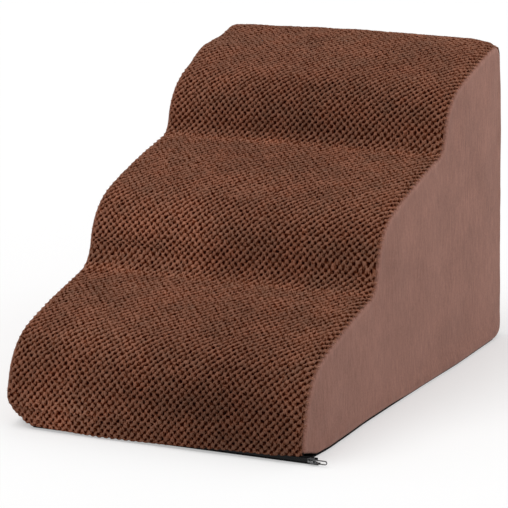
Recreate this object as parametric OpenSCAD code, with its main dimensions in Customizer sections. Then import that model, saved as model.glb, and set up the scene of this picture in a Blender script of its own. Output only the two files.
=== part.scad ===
// Three-tier foam pet stairs in a zipped cover, with one long plush strip over the steps.
// X runs across the stairs, Y from the front to the back, and Z up from the floor.

/* [Stair] */
// Width over the two side panels
stair_w = 390; // [300:5:520]
// Depth from the plush on the front to the back panel
stair_d = 630; // [560:5:760]
// Height of the cover where the top tread meets the back
stair_h = 400; // [370:5:460]

/* [Steps] */
// Height of the upright foot under the first riser
foot_h = 24; // [20:1:30]
// Depth of the first step, from the front to its inner corner
first_going = 202; // [185:1:230]
// Height of the first inner corner
first_rise = 147; // [135:1:160]
// Depth of the second step, from inner corner to inner corner
second_going = 216; // [190:1:235]
// Rise from the first inner corner to the second
second_rise = 131; // [120:1:140]
// Angle that the risers lean back from upright
riser_lean = 15.5; // [8:0.5:20]
// Slope of a tread where it ends at its inner corner
tread_slope = 11; // [6:0.5:14]
// Radius of the rounded noses
nose_r = 74; // [50:1:85]
// Radius of the crowned treads
crown_r = 1100; // [700:10:2000]
// Radius of the top back corner
back_r = 18; // [10:1:30]
// Radius of the bottom back corner
heel_r = 20; // [10:1:30]

/* [Cover] */
// Thickness of the plush strip, pile included
nap_t = 6; // [4:0.5:9]
// Thickness of the plush strip along its sewn sides
nap_edge_t = 1.5; // [1:0.25:3]
// How much prouder the plush strip stands along its middle
nap_crown = 2; // [0:0.5:4]
// Width over which the strip rolls in to its sewn sides
nap_roll = 9; // [5:1:16]
// How far the strip's sides stop short of the side panels' faces
nap_inset = 3; // [2:0.5:6]
// Length over which the strip bridges an inner corner, midway across the stairs
bridge_l = 16; // [8:1:24]
// The same length along the strip's sewn sides
bridge_edge_l = 4; // [3:0.5:8]
// Thickness of the plain side and back panels
panel_t = 2; // [1:0.25:4]
// Thickness of the black base panel
base_t = 2; // [1.5:0.25:2.5]
// Length over which the right side panel's toe lifts over the zip
toe_l = 36; // [24:1:48]
// Depth of the bare strip in front of the base panel
base_inset = 8; // [6:0.5:14]

/* [Zip] */
// Height of the middle of the chain over the floor
zip_z = 5.4; // [5.2:0.1:6.5]
// Width of the closed chain
chain_w = 4.2; // [3.6:0.1:4.6]
// Thickness of the chain
chain_t = 2; // [1.6:0.1:2.4]
// Distance from tooth to tooth in one row
tooth_pitch = 2.5; // [2:0.1:4]
// How far the teeth of one row reach past the middle of the chain
tooth_reach = 0.7; // [0.4:0.05:0.9]
// Thickness of the woven tapes
tape_t = 0.7; // [0.5:0.05:1]
// Width of the upper tape behind the plush
tape_w = 14; // [10:0.5:16]
// Distance from the left side to the chain's first tooth
chain_start = 39; // [10:1:60]
// How far the closed slider's middle stands past the right side
slider_past = 8; // [2:0.5:12]

/* [Slider and pull] */
// Length of the slider along the chain
slider_l = 9; // [8:0.5:12]
// Height of the slider across the chain
slider_w = 7; // [6.6:0.1:7.4]
// Thickness of each of the slider's two plates
plate_t = 1; // [0.8:0.1:1.4]
// Width of the slider's neck between the plates
neck_w = 2.2; // [1.6:0.1:3]
// Height inside the arch that holds the pull
arch_h = 1.5; // [1.4:0.05:2]
// Thickness of the arch
arch_t = 0.8; // [0.6:0.05:1.2]
// Width of the arch
arch_w = 1.6; // [1.2:0.1:2]
// Length of the pull past its pin
pull_l = 20; // [16:0.5:26]
// Width of the pull
pull_w = 5; // [4.6:0.1:5.6]
// Thickness of the pull
pull_t = 1.1; // [0.9:0.05:1.1]
// Width of the two holes in the pull
pull_hole_w = 2.8; // [2.6:0.1:3.2]

/* [Fits] */
// Gap between flat pieces that lie together
fit_gap = 0.3; // [0.2:0.05:0.4]
// Gap between the plush strip and the foam
nap_gap = 0.6; // [0.5:0.05:0.8]
// Gap between the teeth of the two rows
mesh_gap = 0.1; // [0.05:0.01:0.15]
// Gap between the slider and what runs through it
run_gap = 0.15; // [0.1:0.01:0.2]

/* [Hidden] */

// Facets of the outline: along a nose, a tread, a bridged inner corner and each half of a back corner
nose_steps = 8;
tread_steps = 4;
bridge_steps = 3;
back_steps = 3;
// Facets of the plush strip across its rolled side and over half of its width
roll_steps = 2;
half_steps = 3;
// Where the plush strip ends on the rounded back corner
back_seam_angle = 45;
// The smoothness of drawn circles
$fn = 48;

plush_color = [0.40, 0.26, 0.20];
panel_color = [0.55, 0.41, 0.37];
base_color = [0.06, 0.06, 0.065];
foam_color = [0.93, 0.90, 0.80];
zip_color = [0.05, 0.05, 0.05];
metal_color = [0.20, 0.20, 0.21];

// The cover's thickness on the front and on the back
front_cover = nap_gap + nap_t + nap_crown;
back_cover = fit_gap + panel_t;

// The padded body: what the outline of the side panels encloses
body_d = stair_d - front_cover - back_cover;
body_h = stair_h - front_cover;
body_z = base_t + fit_gap;
body_w = stair_w - 2 * (panel_t + fit_gap);
front_y = -stair_d / 2 + front_cover;

// Where each riser starts and each tread ends, as [depth, height]
last_step = 2;
riser_feet = [
    [0, foot_h],
    [first_going, first_rise],
    [first_going + second_going, first_rise + second_rise]
];
tread_ends = [riser_feet[1], riser_feet[2], [body_d, body_h]];

// Along a riser, and square out from it
riser_dir = [sin(riser_lean), cos(riser_lean)];
riser_out = [-cos(riser_lean), sin(riser_lean)];

function angle_of(v) = atan2(v[1], v[0]);
function at_angle(a) = [cos(a), sin(a)];

// How far along a line from start, in direction dir, it leaves a circle
function way_out(start, dir, centre, r) =
    let (a = start - centre, b = a * dir) -b + sqrt(b * b - a * a + r * r);

// Centre of the crown of tread i, and of the nose in front of it
function crown_c(i) = tread_ends[i] + crown_r * [sin(tread_slope), -cos(tread_slope)];
function nose_c(i) =
    let (start = riser_feet[i] - riser_out * nose_r)
    start + riser_dir * way_out(start, riser_dir, crown_c(i), crown_r - nose_r);
function nose_end_angle(i) = angle_of(nose_c(i) - crown_c(i));

// Centres of the two rounded corners at the back
back_c =
    let (start = [body_d - back_r, 0])
    start + [0, 1] * way_out(start, [0, 1], crown_c(last_step), crown_r - back_r);
heel_c = [body_d - heel_r, body_z + heel_r];
back_angle = angle_of(back_c - crown_c(last_step));

// The inner corner behind tread i, on the outline that stands grow proud
function inner_corner(i, grow) =
    let (start = riser_feet[i + 1] + riser_out * grow)
    start + riser_dir * way_out(start, riser_dir, crown_c(i), crown_r + grow);

// Points of the section, standing grow proud of the padded body, as [depth, height]
function arc(centre, r, a0, a1, steps, first = 0) = [
    for (k = [first : steps]) centre + at_angle(a0 + (a1 - a0) * k / steps) * r
];
function bend(a, b, c, steps) = [
    for (k = [1 : steps])
        let (s = k / steps) a * (1 - s) * (1 - s) + b * 2 * s * (1 - s) + c * s * s
];
function foot_points(grow, bottom) = [[-grow, bottom], [-grow, foot_h + grow * tan(riser_lean / 2)]];
function nose_points(i, grow) =
    arc(nose_c(i), nose_r + grow, angle_of(riser_out), nose_end_angle(i), nose_steps);
function tread_points(i, grow, end_angle) =
    arc(crown_c(i), crown_r + grow, nose_end_angle(i), end_angle, tread_steps, 1);

// A step that ends in a sharp inner corner, and one that bridges it over a length
function sharp_step(i, grow) =
    let (corner = inner_corner(i, grow))
    concat(nose_points(i, grow), tread_points(i, grow, angle_of(corner - crown_c(i))));
function bridged_step(i, grow, bridge) =
    let (
        corner = inner_corner(i, grow),
        end_angle = angle_of(corner - crown_c(i)) + asin(bridge / (crown_r + grow)),
        tread = tread_points(i, grow, end_angle)
    )
    concat(
        nose_points(i, grow), tread,
        bend(tread[tread_steps - 1], corner, corner + riser_dir * bridge, bridge_steps)
    );

// The top step up to the seam on its rounded back corner, and the back from there down to the heel
function top_step(grow) = concat(
    nose_points(last_step, grow),
    tread_points(last_step, grow, back_angle),
    arc(back_c, back_r + grow, back_angle, back_seam_angle, back_steps, 1)
);
function back_points(grow) = concat(
    arc(back_c, back_r + grow, back_seam_angle, 0, back_steps),
    arc(heel_c, heel_r + grow, 0, -90, 2 * back_steps)
);

// The side outline of the stairs over a toe, which is its points along the bottom
module side_face(toe) {
    back = back_points(0);
    polygon(concat(
        toe, [foot_points(0, body_z)[1]], sharp_step(0, 0), sharp_step(1, 0), top_step(0),
        [for (k = [1 : len(back) - 1]) back[k]]
    ));
}

// Sets an outline of [depth, height] upright and gives it a width along X
module across(x, w) {
    translate([x, front_y, 0]) rotate([90, 0, 90]) linear_extrude(height = w) children();
}

// Points of the plush strip's section, from its hem to the back seam
function strip_points(grow, bridge) = concat(
    foot_points(grow, hem_z),
    bridged_step(0, grow, bridge), bridged_step(1, grow, bridge), top_step(grow)
);

// The stations of the plush strip across its width, as [place, thickness]
nap_hem_gap = 3 * fit_gap;
hem_z = zip_z + slider_w / 2 + nap_hem_gap;
strip_half = stair_w / 2 - nap_inset;
function swell(x) = 1 - (x / strip_half) * (x / strip_half);
function crown_at(x) = nap_crown * swell(x);
function bridge_at(x) = bridge_edge_l + (bridge_l - bridge_edge_l) * swell(x);
function rolled(k) =
    let (a = 90 * k / roll_steps, x = strip_half - nap_roll * (1 - cos(a)))
    [x, nap_edge_t + (nap_t - nap_edge_t) * sin(a) + crown_at(x)];
function middling(k) =
    let (x = (strip_half - nap_roll) * k / half_steps) [x, nap_t + crown_at(x)];
half_stations = concat(
    [for (k = [0 : roll_steps]) rolled(k)],
    [for (k = [half_steps - 1 : -1 : 0]) middling(k)]
);
station_count = 2 * len(half_stations) - 1;
function station(j) =
    j < len(half_stations)
    ? [-half_stations[j][0], half_stations[j][1]]
    : half_stations[station_count - 1 - j];

// A ring of the strip at one station: the outer section, then the inner one back again
function ring_at(s) =
    let (
        outer = strip_points(nap_gap + s[1], bridge_at(s[0])),
        inner = strip_points(nap_gap, bridge_at(s[0])),
        n = len(inner)
    )
    concat(
        [for (p = outer) [s[0], front_y + p[0], p[1]]],
        [for (k = [n - 1 : -1 : 0]) [s[0], front_y + inner[k][0], inner[k][1]]]
    );

// Joins rings of n points into one closed skin of triangles
module skin(rings, n) {
    last = len(rings) - 1;
    half = n / 2;
    polyhedron(
        points = [for (r = rings) for (p = r) p],
        faces = concat(
            [
                for (j = [0 : last - 1]) for (k = [0 : n - 1])
                    let (a = j * n + k, b = j * n + (k + 1) % n)
                    each [[a, b, b + n], [a, b + n, a + n]]
            ],
            [
                for (k = [0 : half - 2])
                    each [[k + 1, k, n - 1 - k], [k + 1, n - 1 - k, n - 2 - k]]
            ],
            [
                for (k = [0 : half - 2]) let (o = last * n)
                    each [[o + k, o + k + 1, o + n - 1 - k], [o + k + 1, o + n - 2 - k, o + n - 1 - k]]
            ]
        )
    );
}

// The zip stands upright behind the hem, in a rebate along the foam's bottom front edge
zip_y = front_y - nap_gap + fit_gap + tape_t / 2;
slider_t = chain_t + 2 * (run_gap + plate_t);
rebate_d = zip_y + slider_t / 2 + 2 * fit_gap - front_y;
rebate_h = zip_z + chain_w / 2 + tape_w + fit_gap;
chain_x0 = -stair_w / 2 + chain_start;
stop_l = tooth_pitch;
slider_x = stair_w / 2 + slider_past;
tape_start_x = chain_x0 - stop_l;
tape_end_x = slider_x + slider_l / 2 + fit_gap + stop_l;
tooth_count = floor((slider_x - chain_x0) / tooth_pitch);
chain_x1 = chain_x0 + tooth_count * tooth_pitch;
rail_w = chain_w / 2 - tooth_reach - mesh_gap;
tooth_w = tooth_pitch / 2 - 2 * mesh_gap;

// The toe of a side at its bottom front corner: square, or lifted over the zip
square_toe = [[0, body_z]];
lifted_toe =
    let (shares = [[1, 0], [2 / 3, 1 / 5], [1 / 3, 2 / 3]], lift = hem_z - body_z)
    concat(
        [for (s = shares) [toe_l * s[0], body_z + lift * s[1]]],
        [[rebate_d, hem_z], [0, hem_z]]
    );

// The block of high-density foam, cut to the wave outline in one piece
module foam_core() {
    color(foam_color)
    difference() {
        across(-body_w / 2, body_w) side_face(square_toe);
        translate([-stair_w / 2, front_y - rebate_d, 0]) cube([stair_w, 2 * rebate_d, rebate_h]);
    }
}

// The plush strip, from the zip at the front up over the steps to the top back edge
module tread_cover() {
    rings = [for (j = [0 : station_count - 1]) ring_at(station(j))];
    color(plush_color) skin(rings, len(rings[0]));
}

module side_panel(x, toe) {
    color(panel_color) across(x, panel_t) side_face(toe);
}

module side_panel_left() {
    side_panel(-stair_w / 2, square_toe);
}

module side_panel_right() {
    side_panel(stair_w / 2 - panel_t, lifted_toe);
}

// The plain back panel, wrapped round the rounded corners above and below it
module back_panel() {
    outer = back_points(back_cover);
    inner = back_points(fit_gap);
    color(panel_color)
    across(-strip_half, 2 * strip_half)
    polygon(concat(outer, [for (k = [len(inner) - 1 : -1 : 0]) inner[k]]));
}

// The black non-slip base
module base_panel() {
    base_y = front_y + base_inset;
    color(base_color)
    translate([-stair_w / 2, base_y, 0]) cube([stair_w, front_y + heel_c[0] - base_y, base_t]);
}

// The upper tape, sewn behind the plush, with a narrow end that comes out under the right side
module zip_tape_upper() {
    sewn_x = stair_w / 2 - panel_t - fit_gap;
    end_w = hem_z - fit_gap - zip_z - chain_w / 2;
    color(zip_color)
    translate([0, zip_y + tape_t / 2, zip_z + chain_w / 2])
    rotate([90, 0, 0])
    linear_extrude(height = tape_t)
    polygon([
        [tape_start_x, 0], [tape_end_x, 0], [tape_end_x, end_w], [sewn_x, end_w],
        [sewn_x, tape_w], [tape_start_x, tape_w]
    ]);
}

// The lower tape drops out of the slider and turns back to the base panel
module zip_tape_lower() {
    turn_z = zip_z - slider_w / 2 - fit_gap;
    edge_z = zip_z - chain_w / 2;
    front = zip_y - tape_t / 2 - front_y;
    color(zip_color)
    across(tape_start_x, tape_end_x - tape_start_x)
    polygon([
        [front, edge_z], [front + tape_t, edge_z], [front + tape_t, turn_z],
        [base_inset - fit_gap, turn_z], [base_inset - fit_gap, turn_z - tape_t], [front, turn_z - tape_t]
    ]);
}

// One row of teeth on its cord, with the first tooth half a tooth pitch from start
module tooth_row(start, count) {
    rail_z = chain_w / 2 - rail_w;
    translate([0, zip_y + chain_t / 2, zip_z])
    rotate([90, 0, 0])
    linear_extrude(height = chain_t)
    polygon(concat(
        [[chain_x1, chain_w / 2], [chain_x0, chain_w / 2], [chain_x0, rail_z]],
        [
            for (k = [0 : count - 1]) let (x = start + (k + 1 / 2) * tooth_pitch) each [
                [x - tooth_w / 2, rail_z], [x - tooth_w / 2, -tooth_reach],
                [x + tooth_w / 2, -tooth_reach], [x + tooth_w / 2, rail_z]
            ]
        ],
        [[chain_x1, rail_z]]
    ));
}

module zip_teeth_upper() {
    color(zip_color) tooth_row(chain_x0, tooth_count);
}

module zip_teeth_lower() {
    color(zip_color)
    translate([0, 0, 2 * zip_z]) mirror([0, 0, 1])
    tooth_row(chain_x0 + tooth_pitch / 2, tooth_count - 1);
}

// Two crimped stops, one on each tape, which end the slider's travel at the right
module zip_top_stops() {
    stop_x = slider_x + slider_l / 2 + fit_gap;
    stop_w = chain_w / 2 - tooth_reach;
    color(metal_color)
    for (side = [0, 1])
        translate([stop_x, zip_y - chain_t / 2, zip_z + chain_w / 2 * (2 * side - 1) - stop_w * side])
            cube([tape_end_x - stop_x, chain_t, stop_w]);
}

// The block that joins the two tapes where the chain starts
module zip_bottom_stop() {
    color(metal_color)
    translate([tape_start_x, zip_y - chain_t / 2, zip_z - chain_w / 2])
        cube([stop_l, chain_t, chain_w]);
}

// The slider: two plates with turned-in lips, a neck between them and an arch for the pull
lip_w = slider_w / 2 - chain_w / 2 - 2 * fit_gap;
plate_gap = chain_t / 2 + run_gap;
plate_y = zip_y - plate_gap - plate_t;
neck_l = slider_l / 2 - 2 * fit_gap;
arch_half = slider_l / 3;
pin_r = pull_t / 2;
pin_y = plate_y - arch_h / 2;

// A plate of the slider, pointed towards the closed end of the chain
module slider_plate() {
    point_share = 0.7;
    rotate([90, 0, 0])
    linear_extrude(height = plate_t)
    polygon([
        [-slider_l / 2, -slider_w / 2 * point_share], [-slider_l / 6, -slider_w / 2],
        [slider_l / 2, -slider_w / 2], [slider_l / 2, slider_w / 2],
        [-slider_l / 6, slider_w / 2], [-slider_l / 2, slider_w / 2 * point_share]
    ]);
}

module zip_slider() {
    lip_l = slider_l * 2 / 3;
    lip_t = plate_gap - tape_t / 2 - run_gap;
    color(metal_color)
    translate([slider_x, 0, zip_z])
    union() {
        for (y = [plate_y + plate_t, zip_y + plate_gap + plate_t])
            translate([0, y, 0]) slider_plate();
        // the lips that keep the chain in its channel
        for (y = [plate_y + plate_t, zip_y + plate_gap - lip_t], up = [0, 1])
            translate([slider_l / 2 - lip_l, y, up ? slider_w / 2 - lip_w : -slider_w / 2])
                cube([lip_l, lip_t, lip_w]);
        // the neck, which parts the two rows
        translate([0, zip_y + plate_gap, 0])
        rotate([90, 0, 0])
        linear_extrude(height = 2 * plate_gap)
        polygon([
            [slider_l / 2 - neck_l, 0], [slider_l / 2 - neck_l / 2, neck_w / 2],
            [slider_l / 2, neck_w / 3], [slider_l / 2, -neck_w / 3], [slider_l / 2 - neck_l / 2, -neck_w / 2]
        ]);
        // the arch over the pull's pin
        translate([0, plate_y - arch_h, 0]) {
            translate([-arch_half - arch_t, -arch_t, -arch_w / 2])
                cube([2 * (arch_half + arch_t), arch_t, arch_w]);
            for (x = [-arch_half - arch_t, arch_half])
                translate([x, 0, -arch_w / 2]) cube([arch_t, arch_h, arch_w]);
        }
    }
}

// The pull: a tab with a pin under the arch, an eye that the arch passes through,
// and a long hole towards its round end
module zip_pull() {
    eye_l = arch_half + arch_t + 2 * pin_r;
    hole_x = eye_l + pull_hole_w / 2 + pull_t;
    hole_l = pull_l - hole_x - pull_w / 2;
    color(metal_color)
    translate([slider_x, pin_y, zip_z])
    union() {
        translate([0, 0, -pull_w / 2]) cylinder(h = pull_w, r = pin_r);
        rotate([90, 0, 0])
        translate([0, 0, -pull_t / 2])
        linear_extrude(height = pull_t)
        difference() {
            union() {
                translate([0, -pull_w / 2]) square([pull_l - pull_w / 2, pull_w]);
                translate([pull_l - pull_w / 2, 0]) circle(d = pull_w);
            }
            translate([pin_r, -pull_hole_w / 2]) square([eye_l - pin_r, pull_hole_w]);
            translate([hole_x, 0]) circle(d = pull_hole_w);
            translate([hole_x, -pull_hole_w / 2]) square([hole_l, pull_hole_w]);
            translate([hole_x + hole_l, 0]) circle(d = pull_hole_w);
        }
    }
}

foam_core();
tread_cover();
side_panel_left();
side_panel_right();
back_panel();
base_panel();
zip_tape_upper();
zip_tape_lower();
zip_teeth_upper();
zip_teeth_lower();
zip_top_stops();
zip_bottom_stop();
zip_slider();
zip_pull();
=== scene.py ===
"""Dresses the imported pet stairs: plush strip, plain panels, black base and the zip along the front."""

import logging
import math
from dataclasses import dataclass
from enum import Enum

import bpy
import numpy as np
from mathutils import Matrix, Vector
from mathutils.geometry import delaunay_2d_cdt


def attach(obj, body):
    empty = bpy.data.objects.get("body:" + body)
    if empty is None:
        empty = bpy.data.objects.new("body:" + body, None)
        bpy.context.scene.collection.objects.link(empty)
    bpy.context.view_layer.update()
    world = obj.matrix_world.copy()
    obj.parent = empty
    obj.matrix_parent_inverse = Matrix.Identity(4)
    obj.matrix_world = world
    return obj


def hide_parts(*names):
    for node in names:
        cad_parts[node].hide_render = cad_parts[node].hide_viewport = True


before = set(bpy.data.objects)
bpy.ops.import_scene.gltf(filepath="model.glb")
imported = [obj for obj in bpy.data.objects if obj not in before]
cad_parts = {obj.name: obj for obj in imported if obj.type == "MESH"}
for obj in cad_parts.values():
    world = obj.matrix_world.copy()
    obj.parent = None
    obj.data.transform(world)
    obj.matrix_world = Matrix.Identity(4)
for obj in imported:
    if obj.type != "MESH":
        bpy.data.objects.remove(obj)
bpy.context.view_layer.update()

LOG = logging.getLogger("pet_stairs")
COVER_BODY = "cover_and_core"
SEAM_HALF = 0.1915
TINY = 1e-12

Array = np.ndarray
Piece = bpy.types.Object
Socket = bpy.types.NodeSocket
Color = tuple[float, float, float]
Place = tuple[float, float, float]
Span = tuple[float, float]


class Side(Enum):
    """The two sides of the stairs, as the sign of X."""

    LEFT = -1
    RIGHT = 1


# Shapes


def unit(angle: float) -> Array:
    """The direction at an angle in the side view."""
    return np.array([math.cos(angle), math.sin(angle)])


def angle_of(v: Array) -> float:
    """The angle of a direction in the side view."""
    return math.atan2(v[1], v[0])


def way_out(start: Array, along: Array, centre: Array, radius: float) -> float:
    """How far along a line from start it leaves a circle.

    Args:
        start: the point inside the circle that the line starts from.
        along: the line's direction, of length 1.
        centre: the circle's centre.
        radius: its radius.

    Returns:
        The distance from start to the circle.
    """
    a = start - centre
    b = float(a @ along)
    return -b + math.sqrt(b * b - float(a @ a) + radius * radius)


def arc(centre: Array, radius: float, first: float, last: float, steps: int = 40) -> Array:
    """Points of an arc from one angle to another."""
    angles = np.linspace(first, last, steps + 1)
    return centre + radius * np.stack([np.cos(angles), np.sin(angles)], 1)


def way_along(points: Array) -> Array:
    """How far along a line of points each of them lies."""
    steps = np.linalg.norm(np.diff(points, axis=0), axis=1)
    return np.concatenate([[0.0], np.cumsum(steps)])


def resample(points: Array, count: int) -> Array:
    """Spreads count + 1 points evenly along a line of points.

    Args:
        points: the line's points, in order.
        count: how many even steps it gets.

    Returns:
        The new points.
    """
    along = way_along(points)
    wanted = np.linspace(0.0, along[-1], count + 1)
    return np.stack([np.interp(wanted, along, points[:, k]) for k in range(points.shape[1])], 1)


def smoothstep(low: float, high: float, value: Array) -> Array:
    """Rises smoothly from 0 at low to 1 at high."""
    t = np.clip((value - low) / (high - low), 0.0, 1.0)
    return t * t * (3.0 - 2.0 * t)


def joined(runs: list[Array]) -> Array:
    """Joins runs of points, each of which starts where the one before it ends."""
    return np.concatenate([runs[0], *(run[1:] for run in runs[1:])])


def unit_rows(vectors: Array) -> Array:
    """Vectors in the same directions, each of length 1, along the last axis."""
    return vectors / np.maximum(np.linalg.norm(vectors, axis=-1, keepdims=True), TINY)


def rolled_in(near: Array, roll: float) -> Array:
    """Rises from 0 at a seam to 1 as a quarter circle, for the distance from the seam."""
    turn = np.clip(near / roll, 0.0, 1.0)
    return np.sqrt(np.maximum(0.0, 1.0 - (1.0 - turn) ** 2))


def pucker_band(near: Array) -> Array:
    """Where the cloth puckers: 1 in a band beside a seam, for the distance from it."""
    return smoothstep(0.0, 0.004, near) * (1.0 - smoothstep(0.008, 0.030, near))


@dataclass(frozen=True)
class Ripple:
    """Smooth random waves over a surface, the same each run."""

    seed: int
    cell: float

    def __call__(self, u: Array, v: Array) -> Array:
        """Gives the wave, from about -1 to 1.

        Args:
            u: places along the first direction, in metres.
            v: places along the second direction, in metres.

        Returns:
            The height of the wave at each place.
        """
        table = np.random.default_rng(self.seed).uniform(-1.0, 1.0, (64, 64))
        x, y = np.asarray(u) / self.cell + 64.0, np.asarray(v) / self.cell + 64.0
        i, j = np.floor(x).astype(int), np.floor(y).astype(int)
        s, t = x - i, y - j
        s, t = s * s * (3 - 2 * s), t * t * (3 - 2 * t)
        low = table[i % 64, j % 64] * (1 - s) + table[(i + 1) % 64, j % 64] * s
        high = table[i % 64, (j + 1) % 64] * (1 - s) + table[(i + 1) % 64, (j + 1) % 64] * s
        return low * (1 - t) + high * t


@dataclass(frozen=True)
class StairOutline:
    """The side outline of the padded body, as depth from the front and height."""

    front_y: float = -0.3064
    body_d: float = 0.6191
    body_h: float = 0.3914
    body_z: float = 0.0023
    foot_h: float = 0.024
    first_going: float = 0.202
    first_rise: float = 0.147
    second_going: float = 0.216
    second_rise: float = 0.131
    riser_lean: float = math.radians(15.5)
    tread_slope: float = math.radians(11.0)
    nose_r: float = 0.074
    crown_r: float = 1.1
    back_r: float = 0.018
    heel_r: float = 0.036
    seam_angle: float = math.radians(45.0)
    last_step: int = 2
    full_x: tuple[float, ...] = (-0.19, -0.14, -0.095, -0.05, 0.0, 0.067, 0.16, 0.185)
    full_low: tuple[float, ...] = (0.0028, 0.0025, 0.0018, 0.0010, 0.0003, 0.0, 0.0, 0.0)
    full_middle: tuple[float, ...] = (0.0022, 0.0022, 0.0021, 0.0018, 0.0013, 0.0005, 0.0, 0.0)
    full_top: tuple[float, ...] = (0.0032, 0.0042, 0.0060, 0.0060, 0.0054, 0.0046, 0.0030, 0.0012)
    bridge_right: tuple[float, float] = (0.018, 0.018)
    bridge_left: tuple[float, float] = (0.026, 0.016)

    @property
    def riser_dir(self) -> Array:
        """The direction up along a riser."""
        return np.array([math.sin(self.riser_lean), math.cos(self.riser_lean)])

    @property
    def riser_out(self) -> Array:
        """The direction square out from a riser."""
        return np.array([-math.cos(self.riser_lean), math.sin(self.riser_lean)])

    @property
    def riser_feet(self) -> list[Array]:
        """Where each riser starts.

        Returns:
            One [depth, height] point for each step, the lowest first.
        """
        second = np.array([self.first_going, self.first_rise])
        return [
            np.array([0.0, self.foot_h]),
            second,
            second + np.array([self.second_going, self.second_rise]),
        ]

    def crown_centre(self, step: int) -> Array:
        """The centre of a tread's crown.

        Args:
            step: the step's number, from 0 at the front.

        Returns:
            Its [depth, height] point.
        """
        ends = [*self.riser_feet[1:], np.array([self.body_d, self.body_h])]
        slope = np.array([math.sin(self.tread_slope), -math.cos(self.tread_slope)])
        return ends[step] + self.crown_r * slope

    def nose_centre(self, step: int) -> Array:
        """The centre of a rounded nose.

        Args:
            step: the step's number, from 0 at the front.

        Returns:
            Its [depth, height] point.
        """
        start = self.riser_feet[step] - self.riser_out * self.nose_r
        out = way_out(start, self.riser_dir, self.crown_centre(step), self.crown_r - self.nose_r)
        return start + self.riser_dir * out

    def nose_end(self, step: int) -> float:
        """The angle at which a nose goes over into its tread."""
        return angle_of(self.nose_centre(step) - self.crown_centre(step))

    @property
    def back_centre(self) -> Array:
        """The centre of the top back corner.

        Returns:
            Its [depth, height] point.
        """
        start = np.array([self.body_d - self.back_r, 0.0])
        up = np.array([0.0, 1.0])
        radius = self.crown_r - self.back_r
        return start + up * way_out(start, up, self.crown_centre(self.last_step), radius)

    @property
    def heel_centre(self) -> Array:
        """The centre of the bottom back corner."""
        return np.array([self.body_d - self.heel_r, self.body_z + self.heel_r])

    def inner_corner(self, step: int, tread_grow: float, riser_grow: float) -> Array:
        """The corner behind a tread, where the tread and the next riser stand proud by so much.

        Args:
            step: the tread's number, from 0 at the front.
            tread_grow: how far the tread stands proud.
            riser_grow: how far the riser stands proud.

        Returns:
            Its [depth, height] point.
        """
        start = self.riser_feet[step + 1] + self.riser_out * riser_grow
        radius = self.crown_r + tread_grow
        return start + self.riser_dir * way_out(start, self.riser_dir, self.crown_centre(step), radius)

    def foot_top(self, grow: float) -> Array:
        """Where the upright foot goes over into the first riser."""
        return np.array([-grow, self.foot_h + grow * math.tan(self.riser_lean / 2)])

    def climb(self, x: float, grow: float, seam_grow: float, roll: float = 0.0095) -> list[Array]:
        """The runs from the top of the foot up over the steps to the seam at the top of the back.

        Args:
            x: the place across the stairs, which sets how full the cover is there.
            grow: how far the line stands proud of the padded body.
            seam_grow: how far it stands proud where it ends, at the seam.
            roll: the length over which it rolls in to that seam.

        Returns:
            One array of [depth, height] points for each straight, arc or bridged corner.
        """
        proud = [grow + full for full in self.fullness(x)]
        runs, start = [], self.foot_top(proud[0])
        for step in range(self.last_step):
            start = self.add_step(runs, start, step, proud[step])
            corner = self.inner_corner(step, proud[step], proud[step + 1])
            bridge = self.bridge(x, step)
            crown, radius = self.crown_centre(step), self.crown_r + proud[step]
            end = angle_of(corner - crown) + math.asin(bridge / radius)
            runs.append(arc(crown, radius, self.nose_end(step), end))
            low, start = runs[-1][-1], corner + self.riser_dir * bridge
            t = np.linspace(0.0, 1.0, 25)[:, None]
            runs.append(low * (1 - t) ** 2 + corner * 2 * t * (1 - t) + start * t * t)
        self.add_step(runs, start, self.last_step, proud[-1])
        crown = self.crown_centre(self.last_step)
        end = angle_of(self.back_centre - crown)
        runs.append(arc(crown, self.crown_r + proud[-1], self.nose_end(self.last_step), end))
        angles = np.linspace(end, self.seam_angle, 61)
        left = (angles - self.seam_angle) * (self.back_r + proud[-1])
        turn = np.clip(1.0 - left / roll, 0.0, 1.0) * math.pi / 2
        seam = seam_grow + self.fullness(x)[-1]
        radii = self.back_r + seam + (proud[-1] - seam) * np.cos(turn)
        runs.append(self.back_centre + radii[:, None] * np.stack([np.cos(angles), np.sin(angles)], 1))
        return runs

    def add_step(self, runs: list[Array], start: Array, step: int, grow: float) -> Array:
        """Adds a riser and its rounded nose to the runs, and gives the nose's end.

        Args:
            runs: the runs so far, which get two more.
            start: where the riser starts.
            step: the step's number, from 0 at the front.
            grow: how far the line stands proud of the padded body.

        Returns:
            The nose's last point.
        """
        nose, radius = self.nose_centre(step), self.nose_r + grow
        first = angle_of(self.riser_out)
        runs.append(np.array([start, nose + radius * unit(first)]))
        runs.append(arc(nose, radius, first, self.nose_end(step)))
        return runs[-1][-1]

    def fullness(self, x: float) -> tuple[float, float, float]:
        """How much fuller each step's padding is at a place across the stairs: most at the top left."""
        steps = (self.full_low, self.full_middle, self.full_top)
        return tuple(float(np.interp(x, self.full_x, full)) for full in steps)

    def bridge(self, x: float, step: int) -> float:
        """The length over which the cover bridges an inner corner at a place across the stairs."""
        right = 0.5 + 0.5 * x / SEAM_HALF
        return self.bridge_left[step] * (1.0 - right) + self.bridge_right[step] * right

    def descent(self, x: float, grow: float) -> list[Array]:
        """The runs from the seam at the top of the back down and round the heel to the base.

        Args:
            x: the place across the stairs.
            grow: how far the line stands proud of the padded body.

        Returns:
            The turn at the top, the upright back and the heel, each as [depth, height] points.
        """
        top = arc(self.back_centre, self.back_r + grow, self.seam_angle, 0.0)
        share = (top[:, 1:] - top[-1, 1]) / (top[0, 1] - top[-1, 1])
        top = top + share * self.fullness(x)[-1] * unit(self.seam_angle)
        heel = arc(self.heel_centre, self.heel_r + grow, 0.0, -math.pi / 2)
        return [top, np.array([top[-1], heel[0]]), heel]

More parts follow.
